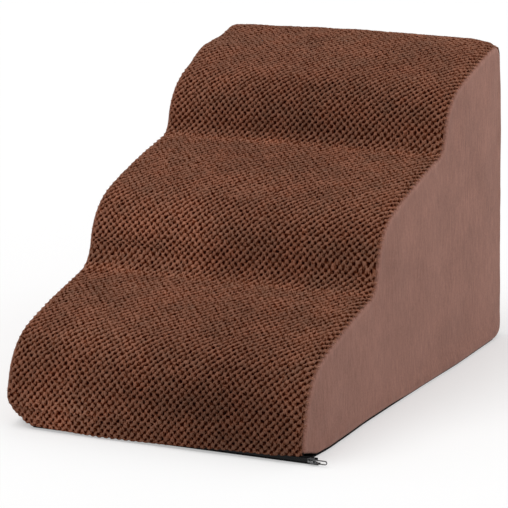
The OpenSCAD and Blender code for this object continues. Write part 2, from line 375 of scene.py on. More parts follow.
    def placed(self, x: float | Array, line: Array) -> Array:
        """Points in space, from their X and from rows of depth and height."""
        return np.column_stack([np.full(len(line), x), self.front_y + line[:, 0], line[:, 1]])


@dataclass(frozen=True)
class CornerTuck:
    """How the cover draws in at one of its corners, the same for all its pieces."""

    start: Place
    end: Place
    pull: Place
    sharpness: Place = (2.0, 1.3, 1.5)

    def __call__(self, points: Array) -> Array:
        """Moves the points near the corner.

        Args:
            points: X, Y and Z along the last axis.

        Returns:
            The moved points.
        """
        start, end = np.array(self.start), np.array(self.end)
        near = np.clip((points - start) / (end - start), 0.0, 1.0)
        share = np.prod(near ** np.array(self.sharpness), axis=-1)
        return points + share[..., None] * np.array(self.pull)


@dataclass(frozen=True)
class FloorSpread:
    """How the padded body spreads sideways where it stands, the same for all its pieces."""

    height: float = 0.036
    sharpness: int = 4
    depths: tuple[float, ...] = (-0.296, -0.246, -0.188, -0.136, -0.056, 0.044, 0.144, 0.314)
    outs: tuple[float, ...] = (0.0, 0.0038, 0.0030, 0.0016, 0.0024, 0.0040, 0.0070, 0.0056)

    def __call__(self, points: Array) -> Array:
        """Moves the points near the two sides' lower edges.

        Args:
            points: X, Y and Z along the last axis.

        Returns:
            The moved points.
        """
        x, y, z = points[..., 0], points[..., 1], points[..., 2]
        share = np.clip(np.abs(x) / SEAM_HALF, 0.0, 1.0) ** self.sharpness
        share *= 1.0 - smoothstep(0.0, self.height, z)
        return np.stack([x + np.sign(x) * share * np.interp(y, self.depths, self.outs), y, z], -1)


LOW_LEFT_TUCK = CornerTuck((-0.150, -0.262, 0.040), (-0.195, -0.314, 0.0), pull=(0.009, 0.018, 0.0115))
TOP_RIGHT_TUCK = CornerTuck((0.150, 0.230, 0.300), (0.195, 0.313, 0.396), pull=(-0.003, -0.0015, -0.0035))


def rested(points: Array) -> Array:
    """Gives points of the body as they lie when the stuffed cover rests on the floor."""
    return FloorSpread()(TOP_RIGHT_TUCK(LOW_LEFT_TUCK(points)))


def link_object(name: str, data: bpy.types.ID) -> Piece:
    """Makes an object of a mesh, lamp or camera, and links it to the scene.

    Args:
        name: the object's name.
        data: the mesh, lamp or camera.

    Returns:
        The object.
    """
    made = bpy.data.objects.new(name, data)
    bpy.context.scene.collection.objects.link(made)
    return made


def build_mesh(
    name: str,
    points: Array,
    faces: Array,
    marks: dict[str, Array] | None = None,
    smooth: bool = True,
) -> Piece:
    """Makes an object from arrays.

    Args:
        name: the piece's name.
        points: one row of X, Y and Z for each vertex.
        faces: one row of vertex numbers for each face, all with as many corners.
        marks: named values for each vertex, which the materials read.
        smooth: whether the faces are shaded smooth.

    Returns:
        The object, linked to the scene.
    """
    mesh = bpy.data.meshes.new(name)
    corners = faces.shape[1]
    mesh.vertices.add(len(points))
    mesh.vertices.foreach_set("co", np.ascontiguousarray(points, np.float32).ravel())
    mesh.loops.add(faces.size)
    mesh.loops.foreach_set("vertex_index", np.ascontiguousarray(faces, np.int32).ravel())
    mesh.polygons.add(len(faces))
    mesh.polygons.foreach_set("loop_start", np.arange(0, faces.size, corners, dtype=np.int32))
    mesh.polygons.foreach_set("use_smooth", np.full(len(faces), smooth))
    for mark, values in (marks or {}).items():
        attribute = mesh.attributes.new(mark, "FLOAT", "POINT")
        attribute.data.foreach_set("value", np.ascontiguousarray(values, np.float32).ravel())
    mesh.update(calc_edges=True)
    mesh.validate()
    return link_object(name, mesh)


def build_rings(name: str, rings: list[Array], flip: bool = False) -> Piece:
    """Makes a closed piece of rings of points, each joined to the next, with a cap at either end.

    Args:
        name: the piece's name.
        rings: the rings from one end to the other, all with as many points.
        flip: whether the rings run the other way round.

    Returns:
        The object, linked to the scene, as it lies on the floor.
    """
    points = rested(np.concatenate(rings))
    number = np.arange(len(points)).reshape(len(rings), -1)
    around = np.roll(number, -1, axis=1)
    walls = np.stack([number[:-1], around[:-1], around[1:], number[1:]], -1).reshape(-1, 4)
    caps = [number[0][::-1], number[-1]]
    if flip:
        walls, caps = walls[:, [0, 3, 2, 1]], [cap[::-1] for cap in caps]
    mesh = bpy.data.meshes.new(name)
    mesh.from_pydata(points.tolist(), [], [*walls.tolist(), *(cap.tolist() for cap in caps)])
    mesh.update()
    return link_object(name, mesh)


def grid_faces(rows: int, columns: int, flip: bool = False) -> Array:
    """The four-cornered faces of a grid of rows by columns of points.

    Args:
        rows: how many rows of points there are.
        columns: how many columns of points there are.
        flip: whether the faces look the other way.

    Returns:
        One row of four vertex numbers for each face.
    """
    number = np.arange(rows * columns).reshape(rows, columns)
    faces = np.stack([number[:-1, :-1], number[:-1, 1:], number[1:, 1:], number[1:, :-1]], -1)
    faces = faces.reshape(-1, 4)
    return faces[:, ::-1] if flip else faces


def grid_normals(grid: Array) -> Array:
    """Unit normals of a grid of points, from the slopes along its rows and columns."""
    return unit_rows(np.cross(np.gradient(grid, axis=1), np.gradient(grid, axis=0)))


# Node trees


class Nodes:
    """Adds and joins the nodes of a material or group."""

    def __init__(self, tree: bpy.types.NodeTree) -> None:
        """Starts on a tree."""
        self.tree = tree

    def add(self, kind: str, inputs: dict | None = None, **settings) -> bpy.types.Node:
        """Adds a node.

        Args:
            kind: the node's Blender type without "ShaderNode".
            inputs: for a socket's name or number, a value or another node's output.
            settings: the node's own settings.

        Returns:
            The new node.
        """
        node = self.tree.nodes.new("ShaderNode" + kind)
        for key, value in settings.items():
            setattr(node, key, value)
        for key, value in (inputs or {}).items():
            self.join(value, node.inputs[key])
        return node

    def join(self, value, socket: Socket) -> None:
        """Links an output to a socket, or sets the socket's own value.

        Args:
            value: an output, or a plain value or colour.
            socket: the input that gets it.
        """
        if isinstance(value, Socket):
            self.tree.links.new(value, socket)
        elif socket.type == "RGBA":
            socket.default_value = (*value, 1.0) if len(value) == 3 else value
        else:
            socket.default_value = value

    def math(self, operation: str, *values, clamp: bool = False) -> Socket:
        """A Math node's output."""
        inputs = dict(enumerate(values))
        return self.add("Math", inputs, operation=operation, use_clamp=clamp).outputs[0]

    def weighed(self, *terms: tuple[Socket, float]) -> Socket:
        """The sum of some values, each times its weight.

        Args:
            terms: pairs of an output and its weight.

        Returns:
            The sum's output.
        """
        total, *rest = (self.math("MULTIPLY", value, weight) for value, weight in terms)
        for part in rest:
            total = self.math("ADD", total, part)
        return total

    def span(self, value, low: float, high: float, to_low: float = 0.0, to_high: float = 1.0) -> Socket:
        """Maps a value from one range to another and keeps it there."""
        inputs = {"Value": value, "From Min": low, "From Max": high, "To Min": to_low, "To Max": to_high}
        return self.add("MapRange", inputs, clamp=True).outputs["Result"]

    def mix(self, share, first, second, blend: str = "MIX") -> Socket:
        """A colour Mix node's output.

        Args:
            share: how much the second colour counts.
            first: the colour underneath.
            second: the colour on top.
            blend: how the one is laid on the other.

        Returns:
            The colour's output.
        """
        node = self.add("Mix", data_type="RGBA", blend_type=blend)
        for socket, value in zip((node.inputs[0], node.inputs[6], node.inputs[7]), (share, first, second)):
            self.join(value, socket)
        return node.outputs[2]

    def times(self, color, factor) -> Socket:
        """A colour multiplied by another colour."""
        return self.mix(1.0, color, factor, "MULTIPLY")

    def shade(self, color, level) -> Socket:
        """A colour made paler or darker by a value."""
        return self.times(color, self.add("CombineColor", {0: level, 1: level, 2: level}).outputs[0])

    def mark(self, name: str) -> Socket:
        """The value that the mesh carries under a name."""
        return self.add("Attribute", attribute_name=name).outputs["Fac"]

    def vector(self, x, y) -> Socket:
        """A vector of two values."""
        return self.add("CombineXYZ", {0: x, 1: y}).outputs[0]

    def ramp(self, share, stops: list[tuple[float, Color]]) -> Socket:
        """A colour ramp's output.

        Args:
            share: the place along the ramp.
            stops: places and their colours, the lowest first.

        Returns:
            The colour's output.
        """
        node = self.add("ValToRGB", {"Fac": share})
        elements = node.color_ramp.elements
        while len(elements) < len(stops):
            elements.new(1.0)
        for element, (place, color) in zip(elements, stops):
            element.position = place
            element.color = (*color, 1.0)
        return node.outputs["Color"]

    def place(self, stretch: Place = (1.0, 1.0, 1.0)) -> Socket:
        """The place on the object in metres, stretched along its axes."""
        place = self.add("TexCoord").outputs["Object"]
        return self.add("Mapping", {"Vector": place, "Scale": stretch}).outputs["Vector"]

    def noise(self, place, scale: float, detail: float = 3.0, roughness: float = 0.5) -> Socket:
        """A noise texture's value."""
        inputs = {"Vector": place, "Scale": scale, "Detail": detail, "Roughness": roughness}
        return self.add("TexNoise", inputs).outputs[0]

    def bump(self, height, strength: float, distance: float, under=None) -> Socket:
        """A Bump node's normal, over another one where that is given.

        Args:
            height: the relief.
            strength: how much it counts.
            distance: its depth in metres.
            under: the normal that it is laid on.

        Returns:
            The normal's output.
        """
        inputs = {"Height": height, "Strength": strength, "Distance": distance}
        if under is not None:
            inputs["Normal"] = under
        return self.add("Bump", inputs).outputs["Normal"]


def emptied(owner: bpy.types.Material | bpy.types.World) -> Nodes:
    """Clears the nodes of a material or of the world, for new ones.

    Args:
        owner: the material or world.

    Returns:
        Its nodes, none of them made yet.
    """
    owner.use_nodes = True
    owner.node_tree.nodes.clear()
    return Nodes(owner.node_tree)


def new_material(name: str) -> tuple[bpy.types.Material, Nodes, bpy.types.Node]:
    """An empty material with its shader.

    Args:
        name: the finish's name.

    Returns:
        The material, its nodes and its Principled BSDF.
    """
    material = bpy.data.materials.new(name)
    nodes = emptied(material)
    shader = nodes.add("BsdfPrincipled")
    nodes.add("OutputMaterial", {"Surface": shader.outputs[0]})
    return material, nodes, shader


def put(nodes: Nodes, node: bpy.types.Node, **inputs) -> None:
    """Gives a node its inputs, with underscores for the spaces in their names."""
    for key, value in inputs.items():
        nodes.join(value, node.inputs[key.replace("_", " ")])


class Effect:
    """A shader node group that several finishes share, built once."""

    made: dict[str, bpy.types.NodeTree] = {}

    def __init__(self, name: str, inputs: dict[str, float], *outputs: str) -> None:
        """Opens a new group with float inputs and outputs.

        Args:
            name: the effect's name.
            inputs: each input's name and usual value.
            outputs: the outputs' names.
        """
        self.tree = bpy.data.node_groups.new(name, "ShaderNodeTree")
        new_socket = self.tree.interface.new_socket
        for key, value in inputs.items():
            new_socket(key, in_out="INPUT", socket_type="NodeSocketFloat").default_value = value
        for key in outputs:
            new_socket(key, in_out="OUTPUT", socket_type="NodeSocketFloat")
        self.nodes = Nodes(self.tree)
        self.given = self.tree.nodes.new("NodeGroupInput").outputs
        self.wanted = self.tree.nodes.new("NodeGroupOutput").inputs
        Effect.made[name] = self.tree

    def give(self, key: str, value: Socket) -> None:
        """Links an output of the group."""
        self.tree.links.new(value, self.wanted[key])

    @staticmethod
    def use(nodes: Nodes, name: str, **inputs) -> bpy.types.Node:
        """Places a group in a material with its own values.

        Args:
            nodes: the material's nodes.
            name: the effect's name.
            inputs: the values of its inputs.

        Returns:
            The group's node.
        """
        group = nodes.tree.nodes.new("ShaderNodeGroup")
        group.node_tree = Effect.made[name]
        put(nodes, group, **inputs)
        return group


def build_effects() -> None:
    """Builds the effects that more than one finish uses: mottle, nap, weave and wear."""
    mottle = Effect("mottle", {"Patch": 20.0, "Fleck": 160.0}, "Patches", "Flecks")
    n = mottle.nodes
    place = n.place()
    for size, output, detail in (("Patch", "Patches", 2.0), ("Fleck", "Flecks", 3.0)):
        mottle.give(output, n.span(n.noise(place, mottle.given[size], detail), 0.3, 0.7))

    nap = Effect("nap", {"Fibre": 1800.0, "Clump": 500.0}, "Height")
    n = nap.nodes
    fine = n.noise(n.place(), nap.given["Fibre"], 2.0, 0.7)
    clump = n.noise(n.place((1.0, 1.0, 0.35)), nap.given["Clump"], 2.0)
    nap.give("Height", n.weighed((fine, 0.6), (clump, 0.4)))

    weave = Effect("weave", {"Threads": 1200.0}, "Height")
    n = weave.nodes
    axes = n.add("SeparateXYZ", {"Vector": n.place()}).outputs
    x, y, z = (n.math("MULTIPLY", axis, weave.given["Threads"]) for axis in axes)
    cross = n.math("MULTIPLY", n.math("SINE", x), n.math("SINE", n.math("ADD", y, z)))
    weave.give("Height", n.span(cross, -1.0, 1.0))

    wear = Effect("wear", {"Reach": 0.4, "Fleck": 900.0}, "Worn")
    n = wear.nodes
    point = n.add("NewGeometry").outputs["Pointiness"]
    edge = n.span(point, 0.5, 0.58)
    spots = n.span(n.noise(n.place(), wear.given["Fleck"], 3.0), 0.45, 0.62)
    bare = n.math("MULTIPLY", edge, spots)
    wear.give("Worn", n.math("MULTIPLY", bare, wear.given["Reach"], clamp=True))


# Finishes


@dataclass(frozen=True)
class PlushFinish:
    """Deep reddish-brown pile in small raised kernels, painted near black between them as shade, with a
    painted highlight on each kernel's rim.
    """

    name: str = "kernel_plush"
    # pit and root are painted shade deep in the pile between kernels; rim is a painted highlight round each
    # kernel.
    pit: Color = (0.0105, 0.0009, 0.0002)
    root: Color = (0.054, 0.0062, 0.0008)
    body: Color = (0.149, 0.0450, 0.0188)
    rim: Color = (0.296, 0.1400, 0.0925)
    crown: Color = (0.268, 0.1230, 0.0800)
    fringe: Color = (0.74, 0.500, 0.390)
    warm: Color = (1.16, 1.03, 0.97)
    cool: Color = (0.87, 0.94, 0.96)
    # bare is the level that the painted pit shade fades to where less pile shows; depth is how much of that
    # shade shows at most.
    bare: float = 0.6
    depth: float = 0.86

    def material(self) -> bpy.types.Material:
        """Builds the material, in which the pits between kernels are painted dark as shade and each kernel
        has a pale rim, a painted highlight, round a slightly darker crown.

        Returns:
            The material.
        """
        material, n, shader = new_material(self.name)
        marks = ("kernel_first", "kernel_second", "shown", "lie", "ridge")
        first, second, shown, lie, ridge = (n.mark(name) for name in marks)
        waves = [n.math("COSINE", n.math("MULTIPLY", place, 2 * math.pi)) for place in (first, second)]
        tilt = n.math("MULTIPLY", n.math("SUBTRACT", waves[1], waves[0]), ridge)
        pile = n.span(n.math("ADD", waves[0], tilt), -0.97, 0.42)
        depth = n.math("MULTIPLY", shown, self.depth)
        pile = n.math("MULTIPLY_ADD", n.math("SUBTRACT", pile, self.bare), depth, self.bare)
        across, along = (n.math(kind, first, second) for kind in ("ADD", "SUBTRACT"))
        strands = n.vector(n.math("MULTIPLY", across, 1.25), n.math("MULTIPLY", along, 0.75))
        fibre = n.noise(strands, 2.1, 2.0, 0.6)
        level = n.math("ADD", pile, n.span(fibre, 0.34, 0.66, -0.50, 0.46), clamp=True)
        # The ramp paints the hollows between kernels dark as shade and the kernels' rims pale as a painted
        # highlight.
        stops = [(0.02, self.pit), (0.26, self.root), (0.56, self.body), (0.86, self.rim), (1.0, self.crown)]
        color = n.ramp(level, stops)
        mottle = Effect.use(n, "mottle", Patch=24.0, Fleck=90.0).outputs
        hue = n.weighed((mottle["Patches"], 0.6), (mottle["Flecks"], 0.4))
        color = n.times(color, n.mix(hue, self.cool, self.warm))
        # Paler or darker by random streaks, by patches of painted light and shade, and by a painted sheen in
        # the inner corners.
        color = n.shade(color, n.math("ADD", n.math("MINIMUM", lie, 1.0), 1.0))
        middle = n.vector(n.math("ROUND", first), n.math("ROUND", second))
        own = n.add("TexWhiteNoise", {"Vector": middle}).outputs["Value"]
        color = n.shade(color, n.span(own, 0.0, 1.0, 0.90, 1.10))
        color = n.mix(n.span(lie, 1.0, 1.7), color, self.fringe)
        nap = Effect.use(n, "nap", Fibre=2000.0, Clump=650.0).outputs[0]
        height = n.math("MULTIPLY_ADD", nap, 0.5, pile)
        normal = n.bump(height, 0.8, 0.0012)
        put(n, shader, Base_Color=color, Roughness=0.95, Normal=normal, Specular_IOR_Level=0.04)
        sheen = n.math("MULTIPLY", level, 0.10)
        put(n, shader, Sheen_Weight=sheen, Sheen_Roughness=0.5, Sheen_Tint=(0.9, 0.55, 0.42))
        return material


@dataclass(frozen=True)
class PanelFinish:
    """Plain taupe cloth with a short suede-like nap, painted darker towards the front as shade."""

    name: str = "panel_suede"
    low: Color = (0.246, 0.118, 0.090)
    high: Color = (0.486, 0.240, 0.184)
    # seam darkens the cloth at its seams as painted shade; ridge lightens the roll beside them as a painted
    # highlight.
    seam: Color = (0.80, 0.74, 0.70)
    ridge: Color = (1.22, 1.24, 1.26)
    # laid is how dark the painted shade makes the cloth at the front, over the depths in laid_y.
    laid: float = 0.85
    laid_y: Span = (-0.30, 0.12)

    def material(self) -> bpy.types.Material:
        """Builds the material, with painted shade where the cloth rolls in to a seam and a painted highlight
        on the roll beside it.

        Returns:
            The material.
        """
        material, n, shader = new_material(self.name)
        mottle = Effect.use(n, "mottle", Patch=14.0, Fleck=420.0).outputs
        streaks = n.noise(n.place((1.0, 1.0, 0.12)), 420.0, 3.0, 0.65)
        streaks = n.span(streaks, 0.35, 0.65)
        tone = n.weighed((mottle["Patches"], 0.30), (mottle["Flecks"], 0.30), (streaks, 0.4))
        color = n.mix(tone, self.low, self.high)
        jittered_seam_distance = n.math("ADD", n.mark("inset"), n.span(mottle["Flecks"], 0.0, 1.0, -0.12, 0.12))
        # Painted shade along the seams, where the cloth rolls in.
        color = n.mix(n.span(jittered_seam_distance, 0.05, 0.22, 1.0, 0.0), color, n.times(color, self.seam))
        # A painted highlight on the rolled edge a few millimetres from the seam.
        ridge = n.span(n.math("ABSOLUTE", n.math("SUBTRACT", jittered_seam_distance, 0.5)), 0.1, 0.35, 0.5, 0.0)
        color = n.mix(ridge, color, n.times(color, self.ridge))
        depth = n.add("SeparateXYZ", {"Vector": n.place()}).outputs["Y"]
        # Painted shade, which darkens the cloth towards the front.
        color = n.shade(color, n.span(depth, *self.laid_y, self.laid, 1.0))
        normal = n.bump(Effect.use(n, "nap", Fibre=2600.0, Clump=900.0).outputs[0], 0.35, 0.0004)
        put(n, shader, Base_Color=color, Roughness=0.88, Normal=normal, Sheen_Weight=0.2)
        put(n, shader, Sheen_Roughness=0.45, Sheen_Tint=(0.9, 0.75, 0.7), Specular_IOR_Level=0.2)
        return material


@dataclass(frozen=True)
class WovenFinish:
    """Black woven cloth or tape."""

    name: str
    dark: Color = (0.0035, 0.0035, 0.004)
    light: Color = (0.011, 0.011, 0.012)
    threads: float = 1600.0

    def material(self) -> bpy.types.Material:
        """Builds the material with its threads over and under each other.

        Returns:
            The material.
        """
        material, n, shader = new_material(self.name)
        weave = Effect.use(n, "weave", Threads=self.threads * math.pi).outputs
        mottle = Effect.use(n, "mottle", Patch=30.0, Fleck=500.0).outputs
        tone = n.weighed((weave["Height"], 0.6), (mottle["Flecks"], 0.4))
        normal = n.bump(weave["Height"], 0.6, 0.0003)
        put(n, shader, Base_Color=n.mix(tone, self.dark, self.light), Normal=normal, Roughness=0.8)
        put(n, shader, Specular_IOR_Level=0.12)
        return material


@dataclass(frozen=True)
class MouldedFinish:
    """Moulded nylon or rubber, slightly uneven."""

    name: str
    color: Color = (0.006, 0.006, 0.0065)
    roughness: float = 0.45
    grain: float = 1200.0

    def material(self) -> bpy.types.Material:
        """Builds the material with a faint moulded grain.

        Returns:
            The material.
        """
        material, n, shader = new_material(self.name)
        mottle = Effect.use(n, "mottle", Patch=60.0, Fleck=self.grain).outputs
        paler = tuple(min(1.0, c * 1.9 + 0.002) for c in self.color)
        color = n.mix(n.span(mottle["Flecks"], 0.0, 1.0, 0.0, 0.5), self.color, paler)
        rough = n.span(mottle["Patches"], 0.0, 1.0, self.roughness - 0.08, self.roughness + 0.12)
        normal = n.bump(mottle["Flecks"], 0.15, 0.0002)
        put(n, shader, Base_Color=color, Roughness=rough, Normal=normal, Specular_IOR_Level=0.2)
        return material


@dataclass(frozen=True)
class LacquerFinish:
    """Black lacquered metal with bright worn edges."""

    name: str = "zip_lacquer"
    lacquer: Color = (0.020, 0.021, 0.023)
    metal: Color = (0.50, 0.50, 0.51)

    def material(self) -> bpy.types.Material:
        """Builds the material, with bare metal where the edges are worn.

        Returns:
            The material.
        """
        material, n, shader = new_material(self.name)
        worn = Effect.use(n, "wear", Reach=0.9, Fleck=1400.0).outputs[0]
        mottle = Effect.use(n, "mottle", Patch=90.0, Fleck=1500.0).outputs
        color = n.mix(worn, self.lacquer, self.metal)
        rough = n.span(mottle["Flecks"], 0.0, 1.0, 0.24, 0.42)
        normal = n.bump(mottle["Flecks"], 0.08, 0.0002)
        put(n, shader, Base_Color=color, Roughness=rough, Metallic=n.span(worn, 0.0, 1.0, 0.35, 1.0))
        put(n, shader, Normal=normal, Coat_Weight=0.3, Coat_Roughness=0.2)
        return material


@dataclass(frozen=True)
class FoamFinish:
    """Cream open-cell foam with cut faces."""

    name: str = "cut_foam"
    cell: Color = (0.62, 0.56, 0.42)
    face: Color = (0.88, 0.83, 0.70)

    def material(self) -> bpy.types.Material:
        """Builds the material with its open cells.

        Returns:
            The material.
        """
        material, n, shader = new_material(self.name)
        cells = n.add("TexVoronoi", {"Vector": n.place(), "Scale": 700.0}).outputs["Distance"]
        mottle = Effect.use(n, "mottle", Patch=9.0, Fleck=240.0).outputs
        tone = n.math("MULTIPLY", n.span(cells, 0.1, 0.6), n.span(mottle["Patches"], 0.0, 1.0, 0.85, 1.0))
        normal = n.bump(cells, 0.5, 0.0008)
        put(n, shader, Base_Color=n.mix(tone, self.cell, self.face), Roughness=0.95, Normal=normal)
        put(n, shader, Specular_IOR_Level=0.15)
        return material


# The plush strip


@dataclass
class PlushStrip:
    """The plush strip from the zip at the front up over the steps to the top of the back."""

    outline: StairOutline
    nap_gap: float = 0.0006
    nap_t: float = 0.006
    edge_t: float = 0.0003
    crown: float = 0.002
    roll: float = 0.0095
    spacing: float = 0.00115
    lip_counts: tuple[int, int, int] = (2, 5, 6)
    foot_count: int = 18
    bare_hem: float = 0.7
    fade: float = 0.0035
    hem_fade: float = 0.004
    kernel_w: float = 0.0087
    kernel_row: float = 0.0049
    kernel_h: float = 0.0030
    kernel_uneven: Span = (0.90, 1.06)
    kernel_flank: Span = (-1.0, 0.35)
    stray: float = 0.0008
    stray_cell: float = 0.0052
    fluff: float = 0.00013
    soft: tuple[Span, ...] = ((0.0009, 0.055), (0.0005, 0.021))
    groove_up: float = 0.56
    groove_flat: float = 0.62
    steep: Span = (0.35, 0.85)
    flattened: float = 0.45
    edge_lift: float = 0.0012
    edge_reach: float = 0.005
    edge_waves: Span = (-0.4, 0.7)
    calm_reach: float = 0.006
    calm_shown: Span = (0.3, 0.6)
    tuft_from: float = 0.012
    tuft_tries: int = 2400
    tuft_columns: int = 3
    tuft_face: int = 16
    tuft_left: Span = (0.0006, 0.0016)
    tuft_right: Span = (0.0014, 0.0038)
    tuft_rise: Span = (-0.45, 0.1)
    tuft_lean: float = 0.40
    tuft_out: Span = (0.8, 1.0)
    tuft_w: float = 0.0006
    tuft_tip: float = 2 / 7
    tuft_sunk: float = 0.0004
    tuft_pale: Span = (0.10, 1.40)
    tuft_kernels: int = 40
    hump_edges: Span = (0.004, 0.006)
    humps: tuple[tuple[float, ...], ...] = (
        (-0.185, 0.685, 0.033, 0.0062),
        (-0.165, 0.785, 0.036, 0.0030),
    )
    # Patches of painted light and shade, in part the brushed pile's own tone: place across, place along,
    # reach across, reach along, and how much paler or darker.
    lies: tuple[tuple[float, ...], ...] = (
        (0.075, 0.025, 0.085, 0.055, -0.42),
        (-0.135, -0.006, 0.065, 0.028, 0.44),
        (-0.120, 0.310, 0.075, 0.050, 0.32),
        (-0.160, 0.580, 0.045, 0.060, 0.18),
        (0.070, 0.300, 0.100, 0.035, -0.12),
        (-0.100, 0.100, 0.060, 0.030, 0.12),
        (0.060, 0.590, 0.110, 0.040, -0.08),
        (-0.045, 0.300, 0.045, 0.035, 0.28),
        (0.160, 0.010, 0.040, 0.035, -0.26),
        (0.080, 0.165, 0.080, 0.050, -0.13),
        (0.130, 0.790, 0.060, 0.050, 0.15),
    )
    streaks: tuple[tuple[float, float, float], ...] = ((0.10, 0.030, 0.6), (0.06, 0.011, 0.7))
    # How much paler the pile is painted in a band behind each tread, a painted sheen on the pile brushed
    # flat there.
    crease_painted_sheen: float = 0.36
    crease_back: float = 0.010
    crease_stray: float = 0.004
    crease_reach: float = 0.006
    lip_y: float = -0.3113
    lip_top: float = 0.0102
    lip_fold: Place = (0.0012, 0.0005, 0.002)
    lip_lean: float = 0.004
    sewn_x: Span = (-0.172, -0.160)
    sewn_edge: Span = (0.0090, 0.0022)
    sewn_fold: Span = (0.002, 0.75)
    hem_low: float = 0.0016
    hem_right: tuple[tuple[Span, float], ...] = (((-0.045, 0.165), 0.0056), ((0.150, 0.180), 0.0024))
    hem_left: tuple[tuple[Span, float], ...] = (((-0.19, -0.04), 0.0029), ((-0.188, -0.155), 0.008))
    hem_turn: int = 12
    seed: int = 11

    def thickness(self, x: float, turn: float) -> float:
        """The strip's thickness at a place across it, where turn is its angle in the rolled side."""
        swell = max(0.0, 1.0 - (x / SEAM_HALF) ** 2)
        return self.edge_t + (self.nap_t - self.edge_t) * math.cos(turn) + self.crown * swell

    def columns(self) -> list[tuple[float, float, float]]:
        """Places across the strip, each as its way along the cloth, its X and its angle in the roll.

        Returns:
            One entry for each column of points, from left to right.
        """
        flat = SEAM_HALF - self.roll
        drop = self.nap_t - self.edge_t
        rolled = math.pi / 2 * math.sqrt((self.roll**2 + drop**2) / 2)
        whole = flat + rolled
        count = 2 * round(whole / self.spacing)
        places = []
        for t in np.linspace(-whole, whole, count + 1):
            turn = max(0.0, (abs(t) - flat) / rolled) * math.pi / 2
            x = min(abs(t), flat) + self.roll * math.sin(turn)
            places.append((float(t), math.copysign(x, t), turn))
        return places

    def hem(self, x: float) -> float:
        """The height of the hem, which hangs lowest left of the middle.

        Args:
            x: the place across the stairs.

        Returns:
            The height in metres.
        """
        height = self.hem_low
        height += sum(gain * float(smoothstep(*span, x)) for span, gain in self.hem_right)
        height += sum(gain * float(1.0 - smoothstep(*span, x)) for span, gain in self.hem_left)
        return height

    def lip(self, x: float, grow: float) -> list[Array]:
        """The turned-in lip: back to the tape, down behind the slider's path and round the hem.

        Args:
            x: the place across the stairs. Left of the zip's end the cloth is sewn to the base's edge.
            grow: how far the cloth stands proud of the padded body.

        Returns:
            Four runs of [depth, height] points, from the inside out.
        """
        hem = self.hem(x)
        sewn = float(1.0 - smoothstep(*self.sewn_x, x))
        least, clear, lift = self.lip_fold
        inner = min(self.outline.front_y - self.lip_y, grow - least)
        half = (grow - inner) / 2
        top = max(self.lip_top, hem + half + clear)
        free = [[min(0.0, -inner + self.lip_lean), top + lift], [-inner, top]]
        held = [self.sewn_edge, (self.sewn_fold[0], self.sewn_fold[1] * hem)]
        behind = (1.0 - sewn) * np.array(free) + sewn * np.array(held)
        fold = behind[1]
        down = np.array([fold, [-inner, hem + half]])
        turn = np.linspace(0.0, math.pi, self.hem_turn + 1)
        middle = -(grow + inner) / 2
        round_hem = np.stack([middle + half * np.cos(turn), hem + half - half * np.sin(turn)], 1)
        upright = np.array([round_hem[-1], self.outline.foot_top(grow)])
        return [behind, down, round_hem, upright]

    def surface(self) -> tuple[Array, Array, Array, Array]:
        """Lays out the cloth without its kernels.

        Returns:
            The grid of points, the way across and along the cloth, and how much of the pile shows.
        """
        places = self.columns()
        seam_grow = self.nap_gap + self.edge_t
        sections = []
        for _, x, turn in places:
            grow = self.nap_gap + self.thickness(x, turn)
            runs = self.lip(x, grow) + self.outline.climb(x, grow, seam_grow, self.roll)
            sections.append((x, runs))
        middle = sections[len(sections) // 2][1]
        counts = [max(2, round(way_along(run)[-1] / self.spacing)) for run in middle]
        counts[:3] = self.lip_counts
        counts[3] = max(counts[3], self.foot_count)
        grid = []
        for x, runs in sections:
            line = joined([resample(run, count) for run, count in zip(runs, counts)])
            grid.append(self.outline.placed(x, line))
        grid = np.stack(grid, 1)
        hidden, lip_rows, foot_row = (sum(counts[:k]) for k in (2, 3, 4))
        way = way_along(grid[:, grid.shape[1] // 2])
        along = np.repeat((way - way[foot_row])[:, None], grid.shape[1], 1)
        along[: foot_row + 1] = grid[: foot_row + 1, :, 2] - grid[foot_row, :, 2][None, :]
        across = np.repeat(np.array([t for t, _, _ in places])[None, :], len(grid), 0)
        shown = np.ones(grid.shape[:2])
        shown[:hidden] = 0.0
        shown[hidden:lip_rows] = np.linspace(0.0, self.bare_hem, counts[2])[:, None]
        rise = along[lip_rows : foot_row + 1] - along[lip_rows][None, :]
        shown[lip_rows : foot_row + 1] = self.thinned(rise, self.hem_fade)
        for away in self.from_edges(across, along):
            shown *= self.thinned(away, self.fade)
        return grid, across, along, shown

    def thinned(self, away: Array, reach: float) -> Array:
        """How much of the pile shows at a distance from an edge, less at the edge itself."""
        return self.bare_hem + (1.0 - self.bare_hem) * smoothstep(0.0, reach, away)

    @staticmethod
    def from_edges(across: Array, along: Array) -> tuple[Array, Array]:
        """The distance from the nearer side seam, and from the seam at the top of the back."""
        return np.abs(across).max() - np.abs(across), along[-1].mean() - along

    def lattice(self, across: Array, along: Array) -> tuple[Array, Array]:
        """Where each point lies among the kernels.

        Args:
            across: the way across the cloth at each point.
            along: the way along the cloth at each point.

        Returns:
            Two slanting counts, both whole at the middle of a kernel and both halves in a pit.
        """
        wide, long = (
            place + self.stray * Ripple(self.seed + k, self.stray_cell)(across, along)
            for k, place in ((3, across), (4, along))
        )
        u, v = wide / self.kernel_w, long / (2 * self.kernel_row)
        return u + v, u - v

